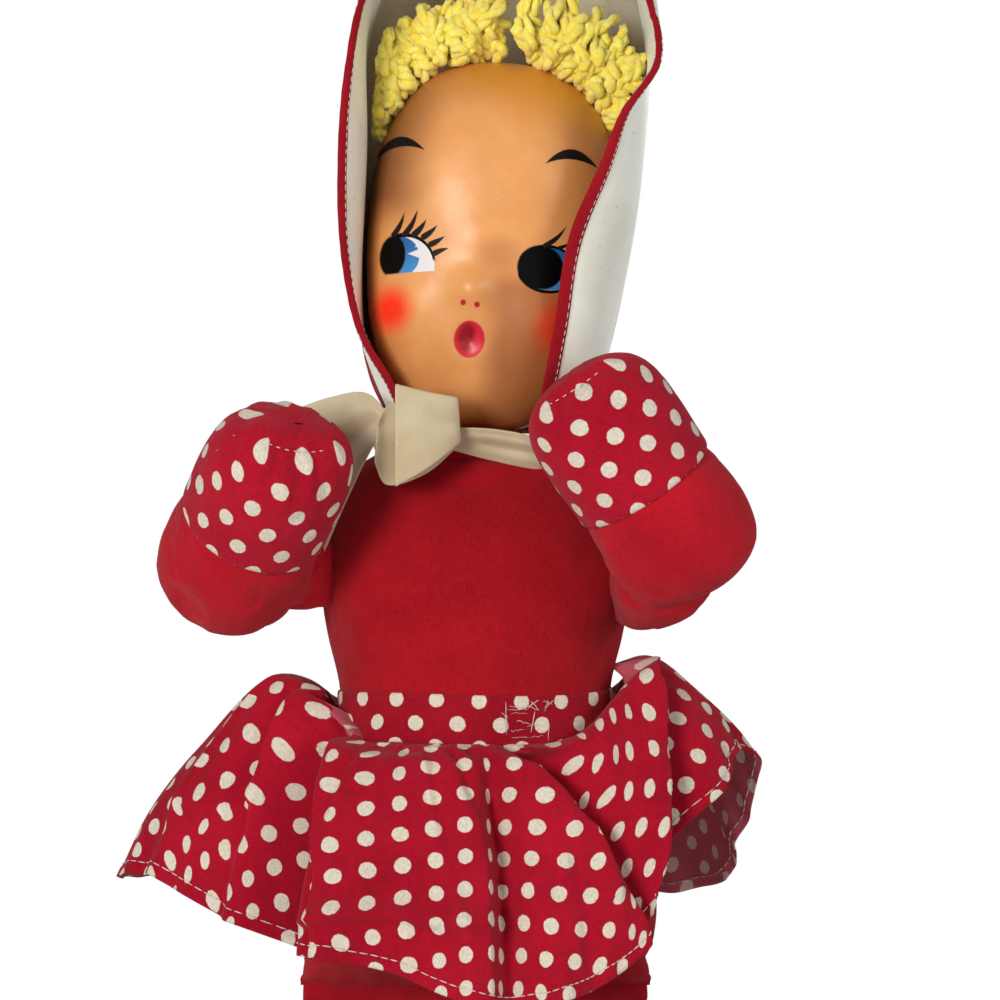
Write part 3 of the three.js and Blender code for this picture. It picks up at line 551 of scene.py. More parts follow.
# Each sharp crease: its line as (way down, way round), how far it stands out, and how far it
# spreads to the doll's right and to its left
SKIRT_CREASES = [
    ([(0.32, -0.134), (0.42, -0.128), (0.52, -0.117), (0.6, -0.109), (0.75, -0.097), (1, -0.09)],
     8, 0.0035, 0.035),
    ([(0.25, -0.16), (0.6, -0.137), (1, -0.126)], -25, 0.034, 0.013),
    ([(0.06, -0.108), (0.35, -0.107), (0.6, -0.106)], -2.6, 0.006, 0.004),
    ([(0.3, -0.05), (0.38, -0.044), (0.52, -0.036), (0.63, -0.025), (0.8, -0.01)], 2.6, 0.018, 0.0035),
    ([(0.08, -0.038), (0.3, -0.026), (0.47, -0.014), (0.55, -0.001), (0.62, 0.003), (1, 0.003)],
     4.5, 0.022, 0.003),
    ([(0.45, 0.008), (0.62, 0.014), (1, 0.015)], -9, 0.007, 0.016),
    ([(0.06, 0.02), (0.35, 0.039), (0.52, 0.078), (0.6, 0.094), (0.7, 0.106), (0.95, 0.124)],
     4.5, 0.035, 0.004),
    ([(0.3, 0.05), (0.52, 0.094), (0.6, 0.11), (0.8, 0.128), (1, 0.14)], -11, 0.010, 0.022),
    ([(0.3, 0.24), (0.47, 0.228), (0.57, 0.188), (0.73, 0.169), (1, 0.15)], 7, 0.03, 0.004),
    ([(0.35, 0.252), (0.6, 0.206), (1, 0.178)], -14, 0.012, 0.03),
    ([(0.2, -0.2), (0.4, -0.2), (0.5, -0.188), (0.6, -0.179), (0.75, -0.17), (1, -0.165)], 7, 0.006, 0.03),
    ([(0.25, -0.212), (0.5, -0.2), (0.75, -0.182)], -5, 0.012, 0.008),
    ([(0.1, -0.235), (0.5, -0.232), (0.8, -0.22)], 3, 0.012, 0.004),
    ([(0.08, 0.005), (0.2, 0.012), (0.38, 0.026)], 4, 0.004, 0.014),
    ([(0.08, -0.024), (0.2, -0.014), (0.4, 0)], 4, 0.014, 0.004),
    ([(0.08, -0.06), (0.2, -0.053), (0.42, -0.042)], 4, 0.016, 0.004),
    ([(0.08, 0.045), (0.2, 0.06), (0.4, 0.09)], 4, 0.004, 0.016),
]
# Each level crease: its line as (way round, way down) and how far it stands out
LEVEL_CREASES = [
    ([(0.004, 0.64), (0.03, 0.69), (0.062, 0.68)], 1.8),
    ([(0.008, 0.72), (0.035, 0.745), (0.06, 0.79), (0.1, 0.79)], 2.0),
    ([(-0.21, 0.78), (-0.19, 0.72), (-0.178, 0.66)], 2.4), ([(-0.1, 0.9), (-0.055, 0.84), (0.0, 0.79)], 5),
]
SKIRT_INNER = 0.08
SKIRT_DROP = 0.113
SKIRT_GRAIN = math.radians(45)


@functools.cache
def skirt_profile(around):
    """The line that the cloth takes from the waist seam to the hem, without its folds."""
    turn = 2 * math.pi * around
    out = np.array((math.sin(turn), -math.cos(turn), 0))
    waist = torso_size(SKIRT_SEAM_HEIGHT)
    seam = np.array(((waist[0] + 0.5) * out[0], (waist[1] + 0.5) * out[1], 2.2))
    hem = HEM_LINE(around)
    puff = PUFF_LINE(around)[0]

    def way(part, fall):
        spot = seam + (hem - seam) * part
        spot[2] = puff + (hem[2] - puff) * fall
        return spot

    risen = way(0.05, 0) + out * (1.9 + 0.6 * min(1, puff / 10))
    risen[2] = 0.66 * puff - 0.5
    return smooth_line([seam, risen, way(0.28, 0.06), way(0.62, 0.38), way(0.86, 0.7), hem])


@functools.cache
def creases_at(v):
    """The sharp creases that cross one level: where, how far out, and the spread to each side."""
    found = []
    for line, rise, right, left in SKIRT_CREASES:
        downs, rounds = zip(*line)
        fade = (v - downs[0] + 0.06) / 0.1
        if downs[-1] < 1:
            fade = min(fade, (downs[-1] + 0.06 - v) / 0.1)
        if fade > 0:
            found.append((float(np.interp(v, downs, rounds)), rise * min(1, fade), right, left))
    return found


@functools.cache
def levels_at(around):
    """The level creases that cross one line down the cloth: how far down and how far out."""
    found = []
    for line, rise in LEVEL_CREASES:
        rounds, downs = zip(*line)
        ends = min(1, (around - rounds[0]) / 0.012 + 1, (rounds[-1] - around) / 0.012 + 1)
        if ends > 0:
            found.append((float(np.interp(around, rounds, downs)), rise * ends))
    return found


def crease_height(around, v):
    """How far the sharp and the level creases stand out at a place on the cloth."""
    height = 0
    for where, rise, right, left in creases_at(v):
        away = around - where
        height += rise * math.exp(-((away / (right if away < 0 else left)) ** 2))
    for where, rise in levels_at(around):
        away = v - where
        height += rise * math.exp(-((away / (0.05 if away < 0 else 0.008)) ** 2))
    return height * min(1, max(0, v / 0.12))


def skirt_point(u, v):
    """u runs round by the doll's right, front and left, from the back. v runs down to the hem."""
    around = u - 0.5
    turn = 2 * math.pi * around
    out = np.array((math.sin(turn), -math.cos(turn), 0))
    spot = skirt_profile(around)(v)
    fold = 3 * math.cos(9 * turn) * v * (0.3 + 0.7 * min(1, abs(around) / 0.25))
    for where, half, rise, start in SKIRT_FOLDS:
        away = (around - where + 0.5) % 1 - 0.5
        grown = max(0, (v - start) / (1 - start)) ** 0.8
        fold += rise * grown * math.exp(-((away / half) ** 2))
    fold += crease_height(around, v)
    gathers = math.sin(46 * turn + 2.2 * math.sin(7 * turn)) + 0.6 * math.sin(71 * turn + 1)
    fold += 0.9 * gathers * math.exp(-v * 6) * min(1, v * 14)
    flutter = 0.8 * math.sin(29 * turn + 4 * v) * v * v + 0.4 * math.sin(53 * turn - 9 * v) * v
    fold += 0.5 * min(1, max(0, v - 0.966) / 0.006)
    spot = spot + out * (fold + flutter)
    spot[2] += SKIRT_SEAM_HEIGHT - 1.4 + fold * 0.25 + 0.5 * flutter
    return doll(*spot)


@functools.cache
def skirt_down(around):
    """The length of the cloth from the seam down to each of 21 levels, in metres."""
    spots = [skirt_profile(around)(k / 20) for k in range(21)]
    steps = [np.linalg.norm(b - a) * MM for a, b in zip(spots, spots[1:])]
    return np.concatenate(([0], np.cumsum(steps)))


skirt_round = lengths_round(skirt_point, 0.75, 280)
SKIRT_MIDDLE = SKIRT_INNER + 0.62 * SKIRT_DROP


def skirt_lay(u, v, side):
    """The skirt is about 226 degrees of a ring, cut at 45 degrees to the rows of dots."""
    spread = (np.interp(u * 280, range(281), skirt_round) - skirt_round[140]) / SKIRT_MIDDLE + SKIRT_GRAIN
    radius = SKIRT_INNER + np.interp(v * 20, range(21), skirt_down(round(u - 0.5, 4)))
    return (radius * math.sin(spread), -radius * math.cos(spread))


skirt_outside = cotton("skirt_cotton", srgb(170, 4, 34), dotted=True)
skirt_inside = cotton("skirt_reverse", srgb(176, 20, 44), dotted=True, paler=0.42)
skirt_shape = cloth_grid(560, 80, skirt_point, skirt_lay)
bmesh.ops.reverse_faces(skirt_shape, faces=skirt_shape.faces)
skirt = as_piece(skirt_shape, "skirt_cloth", skirt_outside, skirt_inside)
skirt_wall = walled(skirt, 0.0006)
skirt_wall.material_offset = 1
# An even thickness would throw spikes out of the sharp folds
skirt_wall.use_even_offset = False
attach(skirt, "torso")
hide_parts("skirt")

HEM_STITCHES = 190
hem_shape = bmesh.new()
for stitch in range(HEM_STITCHES):
    path = [skirt_point((stitch + part) / HEM_STITCHES, 0.962) for part in (0.08, 0.34, 0.6, 0.86)]
    middle = (stitch + 0.5) / HEM_STITCHES
    down = skirt_point(middle, 0.98) - skirt_point(middle, 0.94)
    out = down.cross(path[3] - path[0]).normalized()
    for lift in (0.35, -0.9):
        strand(hem_shape, [spot + out * lift * MM for spot in path], 0.24 * MM, 5)
hem_stitches = as_piece(hem_shape, "skirt_hem_stitches", white_thread)
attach(hem_stitches, "torso")

# Legs
# Two stuffed tubes of the plain red cotton, each sewn flat at the hip and drawn out to an ankle.
# Below a seam at the ankle the foot is of the dotted cotton, a stuffed sock with a rounded heel.

LEG_TOP = 165.5
LEG_SPACING = 33
# The shares of the rows that are a leg's and a foot's side, and the heights in metres between
# which the cloth of each is free to fill out
LEG_SIDE = 0.92
BOOT_SIDE = (0.07, 0.95)
LEG_FREE = (0.0635, 0.1640)
BOOT_FREE = (0.0003, 0.0605)
LEG_LINE = smooth_line([(31, 1.2, 0), (31.6, 15, 12), (31, 27.9, 34), (31, 30, 60), (26.5, 26.5, 103)])
# Down the sock: middle forward, height, turn of the ring, half width, half depth, length so far
BOOT_LINE = smooth_line([
    (0, 61.6, 0, 24.9, 25.1, 0), (0, 50, 0, 24.6, 25.4, 12), (-1, 37, 12, 25, 28, 25),
    (-5, 27, 40, 25, 31.2, 38), (-16, 22.6, 66, 25.2, 27, 52), (-32, 20.8, 86, 25, 20.6, 69),
    (-47, 18, 92, 23, 17.6, 84), (-58, 15.6, 95, 16.5, 12.6, 96), (-64.2, 14.6, 95, 5.5, 4.6, 104),
])


def half_oval(wide, deep):
    """Half of the way round an oval, from its two half sizes in millimetres, in metres."""
    return math.pi * (wide + deep) / 2 * MM


def leg_point(side):
    def place(u, v):
        _, along, closing = rows(v, 0, LEG_SIDE)
        wide, deep, down = LEG_LINE(along)
        turn = 2 * math.pi * u
        round_off = closing ** 0.45
        return doll(
            side * LEG_SPACING - wide * round_off * math.cos(turn),
            -deep * round_off * math.sin(turn),
            LEG_TOP - down - 0.5 * (1 - closing),
        )
    return place


def leg_girth(v):
    wide, deep, down = LEG_LINE(rows(v, 0, LEG_SIDE)[1])
    return half_oval(max(wide, 14), max(deep, 14)), -down * MM


def boot_point(side):
    def place(u, v):
        inside, along, toe = rows(v, *BOOT_SIDE)
        forward, height, tilt, wide, deep, _ = BOOT_LINE(along)
        turn = 2 * math.pi * u
        swing = math.radians(tilt)
        shut = inside ** 0.45 * toe ** 0.6
        across = -wide * shut * math.cos(turn)
        behind = -deep * shut * math.sin(turn)
        return doll(
            side * LEG_SPACING + across,
            forward + behind * math.cos(swing) - 1.2 * (1 - toe) * math.sin(swing),
            max(0, height - behind * math.sin(swing) - 0.4 * (1 - inside)),
        )
    return place


def boot_girth(v):
    row = BOOT_LINE(rows(v, *BOOT_SIDE)[1])
    return half_oval(row[3], row[4]), -row[5] * MM


leg_cotton = cotton("leg_cotton", srgb(168, 8, 28))
boot_cotton = cotton("boot_cotton", srgb(172, 6, 34), dotted=True)
for name, side in (("left", 1), ("right", -1)):
    leg_shape = cloth_grid(48, 34, leg_point(side), two_panels(leg_girth), outward=True)
    leg = as_piece(leg_shape, f"leg_{name}_stuffed", leg_cotton)
    stuff(leg, lambda p: p.z < LEG_FREE[0] or p.z > LEG_FREE[1], 0.0025)
    finer(leg, 1)
    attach(leg, f"leg_{name}")
    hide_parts(f"leg_{name}", f"leg_stuffing_{name}")
    boot_shape = cloth_grid(48, 44, boot_point(side), two_panels(boot_girth), outward=True)
    boot = as_piece(boot_shape, f"boot_{name}_stuffed", boot_cotton)
    stuff(boot, lambda p: p.z < BOOT_FREE[0] or p.z > BOOT_FREE[1], 0.002, slack=0.02)
    finer(boot, 1)
    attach(boot, f"leg_{name}")
    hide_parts(f"boot_{name}")

# Arms
# Each arm is a short stuffed tube, bent up at the elbow. It is sewn to the torso along an
# upright flat seam. Past the wrist seam it is of the dotted cotton, closed by a flat end seam.

FOREARM_LINE = smooth_line([
    (13.5, 13.5, 0), (23, 23, 6), (27, 27, 20), (25.6, 25.6, 42), (26, 24.5, 62), (25.2, 22, 74),
    (22, 17.5, 82), (15, 10.5, 88), (7, 4, 90.6), (1.5, 1, 91),
])
FOREARM_ROWS = np.array([FOREARM_LINE(k / 120) for k in range(121)])
WRIST = 42
MITT_END = 91
SEAM_ALONG = 87.5
MITT_SIDE = (0.08, 0.95)
# Elbow, mitt end and end seam of each arm, from the middle of its shoulder seam, and how far
# down that seam the stuffing reaches
ARMS = {
    "left": ((29.5, -30, 0), (-22.5, -50.5, 75), (0.86, 0, 0.51), 20),
    "right": ((-40, -10, -8), (-5.5, -66, 55), (0.86, 0.5, -0.03), 12.5),
}


def forearm_size(along):
    return tuple(np.interp(along, FOREARM_ROWS[:, 2], FOREARM_ROWS[:, k]) for k in (0, 1))


class Arm:
    """Where one arm lies, and the way round it."""

    def __init__(self, name):
        elbow, mitt_end, seam = (Vector(p) for p in ARMS[name][:3])
        self.root_low = ARMS[name][3] / 20
        joint = next(j for j in frame["joints"] if j["name"] == f"shoulder_{name}")
        self.shoulder = Vector(joint["pos_m"])
        self.elbow = self.shoulder + elbow * MM
        self.axis = (mitt_end - elbow).normalized()
        self.thin = self.axis.cross(seam).normalized()
        self.across = self.thin.cross(self.axis).normalized()
        middle = elbow + self.axis * 20
        self.root_reach = math.hypot(middle.x, middle.y)
        self.root_axis = Vector((middle.x, middle.y, 0)).normalized()
        self.root_out = self.root_axis.cross(Vector((0, 0, 1)))

    def at(self, along, wide, deep, turn):
        spread = self.across * (wide * math.cos(turn)) + self.thin * (deep * math.sin(turn))
        return self.elbow + (self.axis * along + spread) * MM

    def along(self, place):
        return (place - self.elbow).dot(self.axis) / MM


def mitt_point(arm):
    def place(u, v):
        turn = 2 * math.pi * u
        start, share, end = rows(v, *MITT_SIDE)
        along = WRIST + (MITT_END - WRIST) * share
        wide, deep = forearm_size(along)
        face_way = math.sin(turn)
        pucker = math.exp(-((MITT_END - 9 - along) / 9) ** 2)
        crease = math.exp(-((SEAM_ALONG - along) / 1.3) ** 2) if face_way < 0 else 0
        folds = math.sin(15 * turn + 2 + along / 9) + 0.6 * math.sin(26 * turn - along / 5)
        deep = deep * end + (1.2 * pucker * folds - 1.6 * crease) * face_way * face_way * end
        shut = start ** 0.12
        return arm.at(along + 0.7 * (1 - start), (wide + 0.3) * shut, (deep + 0.3) * shut, turn)
    return place


def mitt_girth(v):
    along = WRIST + (MITT_END - WRIST) * rows(v, *MITT_SIDE)[1]
    wide, deep = forearm_size(along)
    return max(half_oval(wide, deep), 0.052), along * MM


def sleeve_shell(arm, shape):
    """The forearm up to the wrist, and the short root that joins it to the shoulder seam."""
    def forearm(u, v):
        turn = 2 * math.pi * u
        start, share, end = rows(v, 0.2, 0.9)
        along = (WRIST + 9) * share
        wide, deep = forearm_size(along)
        shut = start ** 0.6 * end ** 0.4 * (1 - 0.012 * max(0, along - WRIST))
        return arm.at(along - 1.0 * (1 - start) ** 2, wide * shut, deep * shut, turn)

    root_line = smooth_line([(18, 6, -0.1), (19.6, 10, 0.3), (17.6, 16.2, 0.65), (14, 13.5, 1)])

    def root(u, v):
        turn = 2 * math.pi * u
        start, share, end = rows(v, 0.12, 0.9)
        tall, deep, reach = root_line(share)
        tall *= end * (math.cos(turn) if math.cos(turn) > 0 else math.cos(turn) * arm.root_low)
        spread = Vector((0, 0, tall)) + arm.root_out * (deep * start * end * math.sin(turn))
        return arm.shoulder + (arm.root_axis * (reach * arm.root_reach) + spread) * MM

    for place in (forearm, root):
        part = cloth_grid(40, 26, place, lambda u, v, side: (u, v), outward=True)
        mesh = bpy.data.meshes.new("part")
        part.to_mesh(mesh)
        part.free()
        shape.from_mesh(mesh)


def remeshed(piece, voxel, rounds):
    """One skin over overlapping shells, smoothed."""
    skin = piece.modifiers.new("skin", "REMESH")
    skin.mode = "VOXEL"
    skin.voxel_size = voxel
    mesh = bpy.data.meshes.new_from_object(piece.evaluated_get(bpy.context.evaluated_depsgraph_get()))
    piece.modifiers.remove(skin)
    materials = list(piece.data.materials)
    piece.data = mesh
    mesh.materials.clear()
    for material in materials:
        mesh.materials.append(material)
    shape = bmesh.new()
    shape.from_mesh(mesh)
    for _ in range(rounds):
        bmesh.ops.smooth_vert(
            shape, verts=shape.verts, factor=0.5, use_axis_x=True, use_axis_y=True, use_axis_z=True
        )
    shape.to_mesh(mesh)
    shape.free()
    mesh.shade_smooth()


def lay_sleeve(piece, arm):
    """Lays the sleeve's cloth flat round the forearm, from the elbow to the wrist."""
    shape = bmesh.new()
    shape.from_mesh(piece.data)
    flat = shape.loops.layers.uv.verify()

    def turn_of(place):
        out = place - arm.elbow
        return math.atan2(out.dot(arm.thin), out.dot(arm.across))

    for face in shape.faces:
        middle = turn_of(face.calc_center_median())
        for loop in face.loops:
            away = (turn_of(loop.vert.co) - middle + math.pi) % (2 * math.pi) - math.pi
            loop[flat].uv = ((middle + away) * 27 * MM, arm.along(loop.vert.co) * MM)
    shape.to_mesh(piece.data)
    shape.free()


sleeve_cotton = cotton("sleeve_cotton", srgb(182, 12, 32))
mitt_cotton = cotton("mitt_cotton", srgb(174, 6, 36), dotted=True)
for name in ("left", "right"):
    arm = Arm(name)
    sleeve_shape = bmesh.new()
    sleeve_shell(arm, sleeve_shape)
    sleeve = as_piece(sleeve_shape, f"sleeve_{name}_stuffed", sleeve_cotton)
    remeshed(sleeve, 0.0026, 3)
    stuff(sleeve, lambda p: arm.along(p) > 39.5 or (p - arm.shoulder).dot(arm.root_axis) < 0.001, 0.0025)
    lay_sleeve(sleeve, arm)
    finer(sleeve, 1)
    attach(sleeve, f"arm_{name}")
    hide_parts(f"sleeve_{name}", f"arm_stuffing_{name}")
    mitt_shape = cloth_grid(64, 36, mitt_point(arm), two_panels(mitt_girth), outward=True)
    mitt = as_piece(mitt_shape, f"mitt_{name}_stuffed", mitt_cotton)
    stuff(mitt, lambda p: arm.along(p) < WRIST + 1.5 or arm.along(p) > MITT_END - 0.8, 0.002)
    finer(mitt, 1)
    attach(mitt, f"arm_{name}")
    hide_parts(f"mitt_{name}")
    seam_shape = bmesh.new()
    # Long stitches on the end seam's face, and loose ends all round the wrist seam: where the row
    # is, which of how many stitches on half of the way round, each one's points, its face, how far
    # it stands outside the forearm's line sideways and in depth, and its thickness
    for row, stitches, count, parts, face_way, wider, deeper, thick in (
        (SEAM_ALONG, range(15), 15, (0.1, 0.35, 0.6), -1, 0.45, -0.95, 0.26),
        (WRIST + 0.6, range(1, 88, 3), 44, (0.1, 0.3), 1, 0.4, 0.4, 0.12),
    ):
        wide, deep = forearm_size(row)
        for stitch in stitches:
            turns = [face_way * math.pi * (stitch + part) / count for part in parts]
            path = [arm.at(row, wide + wider, deep + deeper, turn) for turn in turns]
            strand(seam_shape, path, thick * MM, 5)
    seam_stitches = as_piece(seam_shape, f"mitt_{name}_seam_stitches", white_thread)
    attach(seam_stitches, f"arm_{name}")

# Neck and head
# The neck is a small stuffed ball of the red cotton in the torso's opening. The cloth back of
# the head is sewn over filling, and the moulded face is set in front of it.

HEAD_ROLL = Matrix.Rotation(math.radians(4.5), 3, "Y")


def head(x, y, z):
    """A point given in millimetres from the middle of the neck, in the leaning head."""
    return PIVOT + HEAD_ROLL @ Vector((x, y, z)) * MM


neck_shape = bmesh.new()
bmesh.ops.create_uvsphere(neck_shape, u_segments=40, v_segments=24, radius=20.8 * MM)
bmesh.ops.bisect_plane(
    neck_shape, geom=neck_shape.verts[:] + neck_shape.edges[:] + neck_shape.faces[:],
    plane_co=(0, 0, 11 * MM), plane_no=(0, 0, 1), clear_outer=True,
)
bmesh.ops.contextual_create(neck_shape, geom=[e for e in neck_shape.edges if e.is_boundary])
bmesh.ops.transform(
    neck_shape, matrix=Matrix.Translation(PIVOT) @ HEAD_ROLL.to_4x4(), verts=neck_shape.verts
)
neck_flat = neck_shape.loops.layers.uv.new("flat")
for face in neck_shape.faces:
    for loop in face.loops:
        loop[neck_flat].uv = (loop.vert.co.x, loop.vert.co.z)
neck = as_piece(neck_shape, "neck_pad", sleeve_cotton)
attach(neck, "neck")
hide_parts("neck")

FACE_HALF_WIDTH = 46.3
FACE_ABOVE = 60.2
FACE_BELOW = 75.9
FACE_BULGE = 41
FACE_BACK = 4
FACE_MIDDLE = 87.4
SKULL_DEPTH = 53


def face_rim(turn, inset=0.0):
    c, s = math.cos(turn), math.sin(turn)
    tall, full = (FACE_ABOVE, 2.5) if s > 0 else (FACE_BELOW, 2.6)
    return (
        (FACE_HALF_WIDTH - inset) * math.copysign(abs(c) ** (2 / full), c),
        (tall - inset) * math.copysign(abs(s) ** (2 / full), s),
    )


def skull_point(u, v):
    turn = 2 * math.pi * u
    front = min(1, v / 0.12)
    deep = math.sin(min(max(0, v - 0.12) / 0.88, 1) * math.pi / 2)
    narrow = math.sqrt(max(0, 1 - deep ** 2))
    square = math.sqrt(max(0, 1 - deep ** 5))
    x, z = face_rim(turn, 0.4)
    tall = narrow if z > 0 else square * 0.6 + narrow * 0.4
    y = (SKULL_DEPTH - 0.4) * deep - FACE_BACK + 0.4
    gather = 1 - 0.012 * math.sin(36 * turn) * math.exp(-((v - 0.16) / 0.05) ** 2)
    return head(x * narrow * front * gather, y, FACE_MIDDLE + z * tall * front * gather)


def skull_lay(u, v, side):
    turn = 2 * math.pi * u
    return (0.04 * math.cos(turn) * (1 - v), 0.05 * math.sin(turn) * (1 - v))


skull_shape = cloth_grid(96, 40, skull_point, skull_lay, outward=True)
skull = as_piece(skull_shape, "head_back_stuffed", sleeve_cotton)
finer(skull, 1)
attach(skull, "head")
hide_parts("head_back", "head_stuffing")

# Moulded face
# A shell of thin glossy plastic, heat formed over a mould, with a small nose and an open round
# mouth. The colours are sprayed and printed on it: brows, eyes, lashes, blush and mouth.

# Place, radius and height of each bump or hollow, from the face's middle at its widest level
FACE_FEATURES = [
    (-6, -27, 8.5, 5), (-5.2, -44, 11, 3.4), (-5.2, -44.6, 5.6, -4.6), (-4, -66, 14, 3),
    (-31, -35, 16, 3), (21, -36, 16, 3), (-30, -14, 13, -1.6), (19, -15, 13, -1.6), (-5, -7, 9, 1.2),
]


def face_relief(x, z):
    return sum(
        rise * math.exp(-1.4 * ((x - a) ** 2 + (z - b) ** 2) / radius ** 2)
        for a, b, radius, rise in FACE_FEATURES
    )


def face_point(u, v):
    """u runs round the face. v runs from its middle out to the rim, then back round the wall."""
    turn = 2 * math.pi * u
    front = min(1, v / 0.95)
    spread = 1 - (1 - front) ** 1.8
    behind = max(0, v - 0.95) / 0.05
    rim = face_rim(turn, 1.4 * math.sin(behind * math.pi / 2))
    x, z = rim[0] * spread, rim[1] * spread
    dome = FACE_BULGE * math.sqrt(max(0, 1 - spread ** 2.4))
    relief = face_relief(x, z) * (1 - spread ** 6)
    tuck = -2.5 * max(0, behind - 0.5) * 2 + 0.5 * math.sin(behind * math.pi)
    return head(x, -FACE_BACK - dome - relief + tuck, FACE_MIDDLE + z)


def face_lay(u, v, side):
    spread = 1 - (1 - min(1, v / 0.95)) ** 1.8
    x, z = face_rim(2 * math.pi * u)
    return (x * spread * MM, z * spread * MM)


# Each eye: its dome's x, z, half width and half height; the tilt of its floor and a point that
# the floor passes; where the white starts; the iris like the dome; the x, half width and half
# height of the pupil; and the x of the two wedges of light in the iris
EYES = [
    ((-31.2, -20, 11.6, 11.4), 0.105, (-40, -23.3), -35.6,
     (-33.0, -16.6, 7.6, 7.4), (-35.4, 4.9, 7.5), (-29.9, -27.4)),
    ((21.0, -17.3, 10.6, 8.2), 0.02, (12, -24.9), 10.4,
     (22, -17.4, 10.6, 8.6), (18.2, 8.4, 8.0), (26, 27)),
]
# Each lash: its foot's x and z, its direction, its length, its bend and its half thickness
LASHES = [
    (-35.4, -8.4, 68, 8.6, -0.6, 1.1), (-31.4, -8.3, 66, 9.8, -0.7, 1.15),
    (-27.7, -8.1, 55, 6.6, -0.4, 1.25), (-24.3, -9.0, 43, 6.3, -0.3, 1.2),
    (-21.5, -11.6, 33, 5.8, -0.2, 1.15), (-19.9, -14.8, 22, 5.4, 0.2, 1.1),
    (19.5, -8.8, 48, 10.2, -0.8, 1.0), (24.5, -9.2, 34, 6, -0.4, 0.7),
]


